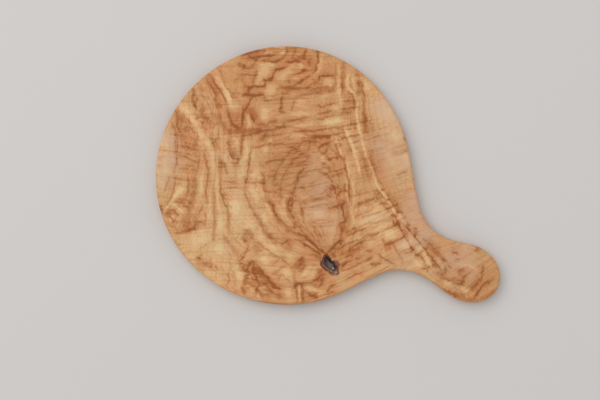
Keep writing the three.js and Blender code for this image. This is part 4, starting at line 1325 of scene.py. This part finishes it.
def knot_figure(piece, points):
    """Give bark and branch their black bands, partly painted shade, pale spots, partly painted glints, and
    brown patches.
    """
    places = np.column_stack(to_upright(points[:, 0], points[:, 1])) - FIGURE_ORIGIN
    places += KNOT_WOBBLE * wobble(places, SHORT_WAVES)
    # Black marks carry painted shade, and pale marks carry painted glints and painted light
    for name, marks in (("black_and_shade", BLACK_AND_SHADE_MARKS), ("glints_and_pale", GLINT_AND_PALE_MARKS), ("brown", BROWN_MARKS)):
        add_attribute(piece, name, strokes_over(places, marks))


# Materials

# Tones are colours of the screen, each with its place on a scale from 0 to 1. The wood's
# scale goes from pale to dark, and the knot's from dark to pale.
WOOD_TONES = (
    (0.0, (226, 184, 133)),
    (0.22, (213, 166, 115)),
    (0.42, (198, 143, 94)),
    (0.62, (180, 122, 72)),
    (0.82, (161, 101, 52)),
    (1.0, (140, 85, 41)),
)
BARK_TONES = (
    (0.0, (76, 48, 44)),
    (0.5, (116, 80, 72)),
    (1.0, (150, 112, 100)),
)
STUB_TONES = (
    (0.0, (60, 54, 50)),
    (0.5, (104, 94, 84)),
    (1.0, (140, 126, 114)),
)
RED_LEAN = (6, -4, -5)  # from the middle of the wood's hues to its reddest
PALE_PINK = (205, 169, 144)
GOLD = (190, 118, 58)
WARM_RED = (178, 92, 46)
STAIN_BROWN = (98, 56, 44)
KNOT_BROWN = (150, 94, 68)
# Black of the bark, also used for painted shade in the knot's hollow
KNOT_BLACK_AND_SHADE = (44, 25, 25)
# Pale grey of the core, also used for painted glints and painted light
KNOT_GLINT_PALE = (186, 158, 148)

# Noise over the wood, by its scale to the metre
NOISE_SPREAD = 4  # what a noise node's 0 to 1 is drawn out to
WARP_SCALE = 55
FADE_SCALE = 28
KNURL_SCALE = 190
KNURL_SWIRL = 1.0
CLOUD_SCALE = 40
TINGE_SCALE = 70
WIDE_TINGE_SCALE = 22

# Noise along the grain: how fast it changes over the rings and over the curl, and its layer
KINK_GRAIN = (0.8, 1.0, 0)
RIPPLE_GRAIN = (0.45, 1.5, 3)
FIBRE_GRAIN = (9, 1.5, 7)
TINGE_GRAIN = (2.2, 0.9, 11)

# How far the rings are bent
WARP_BEND = 0.12
KINK_BEND = 0.22
ZIGZAG_BEND = 0.06

# Ridges of the rings and of the curl: how many to a step of the guides, and how sharp
RING_PITCH, RING_SHARPNESS = 1.4, 2.5
THIN_PITCH, THIN_SHARPNESS = 3.7, 4
CREST_PITCH, CREST_SHARPNESS = 1.9, 5
CREST_KINK = 0.35

# How much each pattern darkens the wood on its scale of tones, and the mean taken off it
SHADE_MIDDLE = 0.365
STREAK_DEPTH = 0.88
STREAK_BREAKS = 0.2
RING_DEPTH, RING_MEAN = 0.24, 0.07
THIN_DEPTH, THIN_MEAN = 0.17, 0.034
CREST_DEPTH, CREST_MEAN = 0.32, 0.025
RIPPLE_DEPTH = 0.075
KNURL_DEPTH = 0.04
FIBRE_DEPTH = 0.055
RING_FADE = (-0.9, 0.9)  # from where the rings are gone to where they are strong
CREST_FADE = (-0.6, 1.0)

# How red the wood is: what each pattern adds, and the range from yellow to red
GLOW_TINGE = 1.1
GRAIN_TINGE = 0.4
FINE_TINGE = 0.5
WIDE_TINGE = 0.35
TINGE_RANGE = (-1.2, 1.2)

# Patches and stain: how far noise breaks them up, and where they cover the wood
PALE_CLOUD = 0.3
PALE_SHADES = (0.95, 0.5)  # none on dark lines, all of it on pale wood
PALE_FULL = 1.4
WARM_WARP, WARM_MEAN = 0.3, 0.9
WARM_FULL = 2.2
STAIN_SPECKS = 0.12
STAIN_START, STAIN_FULL = 0.2, 1.0

# Surface of the wood
FIBRE_RELIEF = 0.5
KNURL_RELIEF = 0.3
SHADE_RELIEF = -0.5
WOOD_RELIEF = 0.06  # millimetres
WOOD_ROUGHNESS, WOOD_ROUGHNESS_SPREAD = 0.5, 0.04
WOOD_GLOSS = 0.25

# Bark and stub
BARK_NOISE = (420, 0.8, 160)  # the scale and swirl of the fine noise, and the coarse scale
STUB_NOISE = (380, 1.0, 140)
MOTTLE_MIDDLE = 0.5
MOTTLE_DEPTH = 0.2
BROWN_FULL = 1.2
# Black marks, partly painted shade: how far noise breaks them up, and where they are full
BLACK_SHADE_BREAKS, BLACK_SHADE_FULL = 0.2, 1.0
# Pale marks, partly painted glints: how far noise breaks them up, and where they are full
GLINT_PALE_BREAKS, GLINT_PALE_FULL = 0.15, 1.2
BARK_RELIEF = 0.4
BARK_ROUGHNESS = 0.72
STUB_RELIEF = 0.5
STUB_ROUGHNESS, STUB_ROUGHNESS_SPREAD = 0.45, 0.1
KNOT_GLOSS = 0.3


def linear(red, green, blue):
    """A colour of the screen, 0 to 255, as a shader's colour, by the sRGB curve."""
    shares = np.array([red, green, blue]) / 255
    dark = shares / 12.92
    light = ((shares + 0.055) / 1.055) ** 2.4
    return (*np.where(shares <= 0.04045, dark, light).tolist(), 1)


def stops(tones, lean=0):
    """Tones as the stops of a ramp, leaning towards red, or away from it below 0."""
    return [(position, linear(*np.add(tone, np.multiply(RED_LEAN, lean)))) for position, tone in tones]


class Recipe:
    """A material being put together from nodes."""

    def __init__(self, name):
        self.material = bpy.data.materials.new(name)
        self.material.use_nodes = True
        self.tree = self.material.node_tree
        self.shader = self.tree.nodes["Principled BSDF"]

    def feed(self, socket, value):
        """Put a number, a colour or another node's output into a socket."""
        if isinstance(value, bpy.types.NodeSocket):
            self.tree.links.new(value, socket)
        else:
            socket.default_value = value

    def finish(self, **inputs):
        """Set the shader's own inputs, named with _ for a space."""
        for name, value in inputs.items():
            self.feed(self.shader.inputs[name.replace("_", " ")], value)
        return self.material

    def place(self):
        return self.tree.nodes.new("ShaderNodeTexCoord").outputs["Object"]

    def attribute(self, name):
        node = self.tree.nodes.new("ShaderNodeAttribute")
        node.attribute_name = name
        return node.outputs["Fac"]

    def math(self, operation, *values):
        node = self.tree.nodes.new("ShaderNodeMath")
        node.operation = operation
        for socket, value in zip(node.inputs, values):
            self.feed(socket, value)
        return node.outputs[0]

    def add(self, *values):
        total = values[0]
        for value in values[1:]:
            total = self.math("ADD", total, value)
        return total

    def scaled(self, value, scale, plus=None):
        """A value times a scale, plus another where one is given."""
        if plus is None:
            return self.math("MULTIPLY", value, scale)
        return self.math("MULTIPLY_ADD", value, scale, plus)

    def ridges(self, value, sharpness):
        """Ridges, one to each unit of a value, that climb slowly and end at once."""
        return self.math("POWER", self.math("FRACT", value), sharpness)

    def noise(self, place, scale, detail, swirl=0):
        """Noise about 0, mostly from -1 to 1."""
        node = self.tree.nodes.new("ShaderNodeTexNoise")
        self.feed(node.inputs["Vector"], place)
        self.feed(node.inputs["Scale"], scale)
        self.feed(node.inputs["Detail"], detail)
        self.feed(node.inputs["Distortion"], swirl)
        return self.scaled(node.outputs["Fac"], NOISE_SPREAD, -NOISE_SPREAD / 2)

    def grain_noise(self, ring, curl, grain, detail):
        """Noise along the grain."""
        over_rings, over_curl, layer = grain
        node = self.tree.nodes.new("ShaderNodeCombineXYZ")
        places = (self.scaled(ring, over_rings), self.scaled(curl, over_curl), layer)
        for socket, value in zip(node.inputs, places):
            self.feed(socket, value)
        return self.noise(node.outputs[0], 1, detail)

    def between(self, value, low, high):
        """A value's share of the way from low to high, eased at both ends."""
        node = self.tree.nodes.new("ShaderNodeMapRange")
        node.interpolation_type = "SMOOTHSTEP"
        for name, setting in (("Value", value), ("From Min", low), ("From Max", high)):
            self.feed(node.inputs[name], setting)
        return node.outputs[0]

    def ramp(self, share, colours):
        node = self.tree.nodes.new("ShaderNodeValToRGB")
        while len(node.color_ramp.elements) < len(colours):
            node.color_ramp.elements.new(1)
        for element, (position, colour) in zip(node.color_ramp.elements, colours):
            element.position = position
            element.color = colour
        self.feed(node.inputs["Fac"], share)
        return node.outputs["Color"]

    def mixed(self, share, first, second):
        node = self.tree.nodes.new("ShaderNodeMix")
        node.data_type = "RGBA"
        sockets = [s for s in node.inputs if s.enabled]
        for socket, value in zip(sockets, (share, first, second)):
            self.feed(socket, value)
        return next(s for s in node.outputs if s.enabled)

    def painted(self, colour, tone, cover, full, start=0):
        """A colour that goes over to a tone as its cover goes from start to full."""
        return self.mixed(self.between(cover, start, full), colour, linear(*tone))

    def bump(self, height, distance):
        """Bump from a height of about one, as deep as the distance in millimetres."""
        node = self.tree.nodes.new("ShaderNodeBump")
        self.feed(node.inputs["Height"], height)
        self.feed(node.inputs["Distance"], distance * MM)
        return node.outputs["Normal"]


def wood_grain(wood):
    """What the wood's shade and colour come from: rings bent by the curl, and noise along them."""
    place = wood.place()
    curl = wood.attribute("curl")
    ring = wood.attribute("ring")
    warp = wood.noise(place, WARP_SCALE, 3)
    kink = wood.grain_noise(ring, curl, KINK_GRAIN, 3)
    zigzag = wood.math("SINE", wood.scaled(curl, 2 * math.pi, warp))
    bent = wood.add(
        ring,
        wood.scaled(warp, WARP_BEND),
        wood.scaled(kink, KINK_BEND),
        wood.scaled(zigzag, ZIGZAG_BEND),
    )
    return SimpleNamespace(
        place=place,
        curl=curl,
        bent=bent,
        warp=warp,
        kink=kink,
        ripple=wood.grain_noise(bent, curl, RIPPLE_GRAIN, 2),
        fibre=wood.grain_noise(bent, curl, FIBRE_GRAIN, 3),
        knurl=wood.noise(place, KNURL_SCALE, 3, KNURL_SWIRL),
    )


def wood_shade(wood, grain):
    """Where the wood is on its scale of tones."""
    fade = wood.between(wood.noise(grain.place, FADE_SCALE, 2), *RING_FADE)
    rings = wood.ridges(wood.scaled(grain.bent, RING_PITCH), RING_SHARPNESS)
    thin = wood.ridges(wood.scaled(grain.bent, THIN_PITCH), THIN_SHARPNESS)
    waves = wood.scaled(grain.kink, CREST_KINK, wood.scaled(grain.curl, CREST_PITCH))
    crests = wood.scaled(wood.ridges(waves, CREST_SHARPNESS), wood.between(grain.ripple, *CREST_FADE))
    streaks = wood.scaled(wood.attribute("streak"), wood.scaled(grain.knurl, STREAK_BREAKS, 1))
    return wood.add(
        SHADE_MIDDLE,
        wood.attribute("dark"),
        wood.scaled(streaks, STREAK_DEPTH),
        wood.scaled(fade, wood.scaled(rings, RING_DEPTH, -RING_MEAN)),
        wood.scaled(thin, THIN_DEPTH, -THIN_MEAN),
        wood.scaled(grain.ripple, RIPPLE_DEPTH),
        wood.scaled(crests, CREST_DEPTH, -CREST_MEAN),
        wood.scaled(grain.knurl, KNURL_DEPTH),
        wood.scaled(grain.fibre, FIBRE_DEPTH),
    )


def wood_colour(wood, grain, shade):
    """The wood's colour: its tone, its tinge, and its pale, golden, warm and stained patches."""
    tinge = wood.add(
        wood.scaled(wood.attribute("glow"), GLOW_TINGE),
        wood.scaled(wood.grain_noise(grain.bent, grain.curl, TINGE_GRAIN, 3), GRAIN_TINGE),
        wood.scaled(wood.noise(grain.place, TINGE_SCALE, 3), FINE_TINGE),
        wood.scaled(wood.noise(grain.place, WIDE_TINGE_SCALE, 2), WIDE_TINGE),
    )
    yellow = wood.ramp(shade, stops(WOOD_TONES, -1))
    red = wood.ramp(shade, stops(WOOD_TONES, 1))
    colour = wood.mixed(wood.between(tinge, *TINGE_RANGE), yellow, red)
    pale = wood.scaled(wood.noise(grain.place, CLOUD_SCALE, 3), PALE_CLOUD, wood.attribute("pale"))
    pale = wood.scaled(pale, wood.between(shade, *PALE_SHADES))
    colour = wood.painted(colour, PALE_PINK, pale, PALE_FULL)
    colour = wood.painted(colour, GOLD, pale, -PALE_FULL)
    warm = wood.scaled(wood.attribute("warm"), wood.scaled(grain.warp, WARM_WARP, WARM_MEAN))
    colour = wood.painted(colour, WARM_RED, warm, WARM_FULL)
    stain = wood.scaled(grain.knurl, STAIN_SPECKS, wood.attribute("stain"))
    return wood.painted(colour, STAIN_BROWN, stain, STAIN_FULL, STAIN_START)


def olive_wood():
    """Oiled olive wood, with a fine relief of fibres and knurls."""
    wood = Recipe("olive_wood")
    grain = wood_grain(wood)
    shade = wood_shade(wood, grain)
    relief = wood.add(
        wood.scaled(grain.fibre, FIBRE_RELIEF),
        wood.scaled(grain.knurl, KNURL_RELIEF),
        wood.scaled(shade, SHADE_RELIEF),
    )
    return wood.finish(
        Base_Color=wood_colour(wood, grain, shade),
        Roughness=wood.scaled(grain.fibre, WOOD_ROUGHNESS_SPREAD, WOOD_ROUGHNESS),
        Specular_IOR_Level=WOOD_GLOSS,
        Normal=wood.bump(relief, WOOD_RELIEF),
    )


def mottled(recipe, fine_scale, swirl, coarse_scale):
    """Fine noise over a piece of the knot, and the shade that it makes with coarse noise."""
    place = recipe.place()
    fine = recipe.noise(place, fine_scale, 4, swirl)
    coarse = recipe.noise(place, coarse_scale, 2)
    depths = (recipe.scaled(fine, MOTTLE_DEPTH), recipe.scaled(coarse, MOTTLE_DEPTH))
    return fine, recipe.add(MOTTLE_MIDDLE, *depths)


def knot_marks_and_painted_light(recipe, colour, fine):
    """Brown the knot's colour where marked so, blacken it, partly as painted shade, and pale it, partly as
    painted glints.
    """
    # Blackening: the bark's black and painted shade in the knot's hollow
    black_and_shade = recipe.scaled(fine, BLACK_SHADE_BREAKS, recipe.attribute("black_and_shade"))
    # Paling: the core's pale grey, painted glints, and painted light on the hollow's lower wall
    glints_and_pale = recipe.scaled(fine, GLINT_PALE_BREAKS, recipe.attribute("glints_and_pale"))
    colour = recipe.painted(colour, KNOT_BROWN, recipe.attribute("brown"), BROWN_FULL)
    colour = recipe.painted(colour, KNOT_BLACK_AND_SHADE, black_and_shade, BLACK_SHADE_FULL)
    return recipe.painted(colour, KNOT_GLINT_PALE, glints_and_pale, GLINT_PALE_FULL)


def bark():
    """Ingrown bark: purple brown, black at the head of the knot, that black partly painted shade."""
    skin = Recipe("bark")
    scales, shade = mottled(skin, *BARK_NOISE)
    return skin.finish(
        Base_Color=knot_marks_and_painted_light(skin, skin.ramp(shade, stops(BARK_TONES)), scales),
        Roughness=BARK_ROUGHNESS,
        Specular_IOR_Level=KNOT_GLOSS,
        Normal=skin.bump(scales, BARK_RELIEF),
    )


def knot_wood():
    """Dead branch wood: grey, crazed, with black bands, partly painted shade, and pale spots, partly painted
    glints.
    """
    stub = Recipe("knot_wood")
    crazed, shade = mottled(stub, *STUB_NOISE)
    return stub.finish(
        Base_Color=knot_marks_and_painted_light(stub, stub.ramp(shade, stops(STUB_TONES)), crazed),
        Roughness=stub.scaled(crazed, STUB_ROUGHNESS_SPREAD, STUB_ROUGHNESS),
        Specular_IOR_Level=KNOT_GLOSS,
        Normal=stub.bump(crazed, STUB_RELIEF),
    )


# Camera, light and floor


def add_camera():
    camera = bpy.data.objects.new("camera", bpy.data.cameras.new("camera"))
    x, y = to_board(*VIEW_CENTRE)
    camera.location = Vector((x, y, BOARD_TOP + CAMERA_HEIGHT)) * MM
    camera.rotation_euler = (0, 0, HANDLE_DROOP)
    camera.data.lens = camera.data.sensor_width * CAMERA_HEIGHT / VIEW_WIDTH
    bpy.context.scene.collection.objects.link(camera)
    bpy.context.scene.camera = camera


def add_key_light():
    light = bpy.data.lights.new("key", "AREA")
    light.shape = "DISK"
    light.size = KEY_SIZE * MM
    lamp = bpy.data.objects.new("key", light)
    u, v, height = KEY_PLACE
    lamp.location = Vector((*to_board(u, v), height)) * MM
    lamp.rotation_euler = (-lamp.location).to_track_quat("-Z", "Y").to_euler()
    reach = lamp.location.length
    steepness = lamp.location.z / reach
    light.energy = KEY_LIGHT * math.pi**2 * reach**2 / steepness
    bpy.context.scene.collection.objects.link(lamp)


def add_world():
    world = bpy.data.worlds.new("studio")
    world.use_nodes = True
    background = world.node_tree.nodes["Background"]
    background.inputs["Color"].default_value = (1, 1, 1, 1)
    background.inputs["Strength"].default_value = WORLD_LIGHT
    bpy.context.scene.world = world


def add_floor():
    reach = FLOOR_REACH
    corners = [(-reach, -reach, 0), (reach, -reach, 0), (reach, reach, 0), (-reach, reach, 0)]
    floor = add_mesh("floor", corners, [(0, 1, 2, 3)])
    material = Recipe("floor").finish(Base_Color=(*FLOOR_COLOUR, 1), Roughness=FLOOR_ROUGHNESS)
    floor.data.materials.append(material)


def dress(piece, node, material):
    """Let a piece stand in for a node of the CAD."""
    piece.data.materials.append(material)
    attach(piece, "root")
    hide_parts(node)


bpy.context.scene.view_settings.view_transform = "Standard"
add_camera()
add_world()
add_key_light()
add_floor()
dress(board_piece(), "board", olive_wood())
dress(bark_piece(), "knot_bark", bark())
dress(core_piece(), "knot_core", knot_wood())
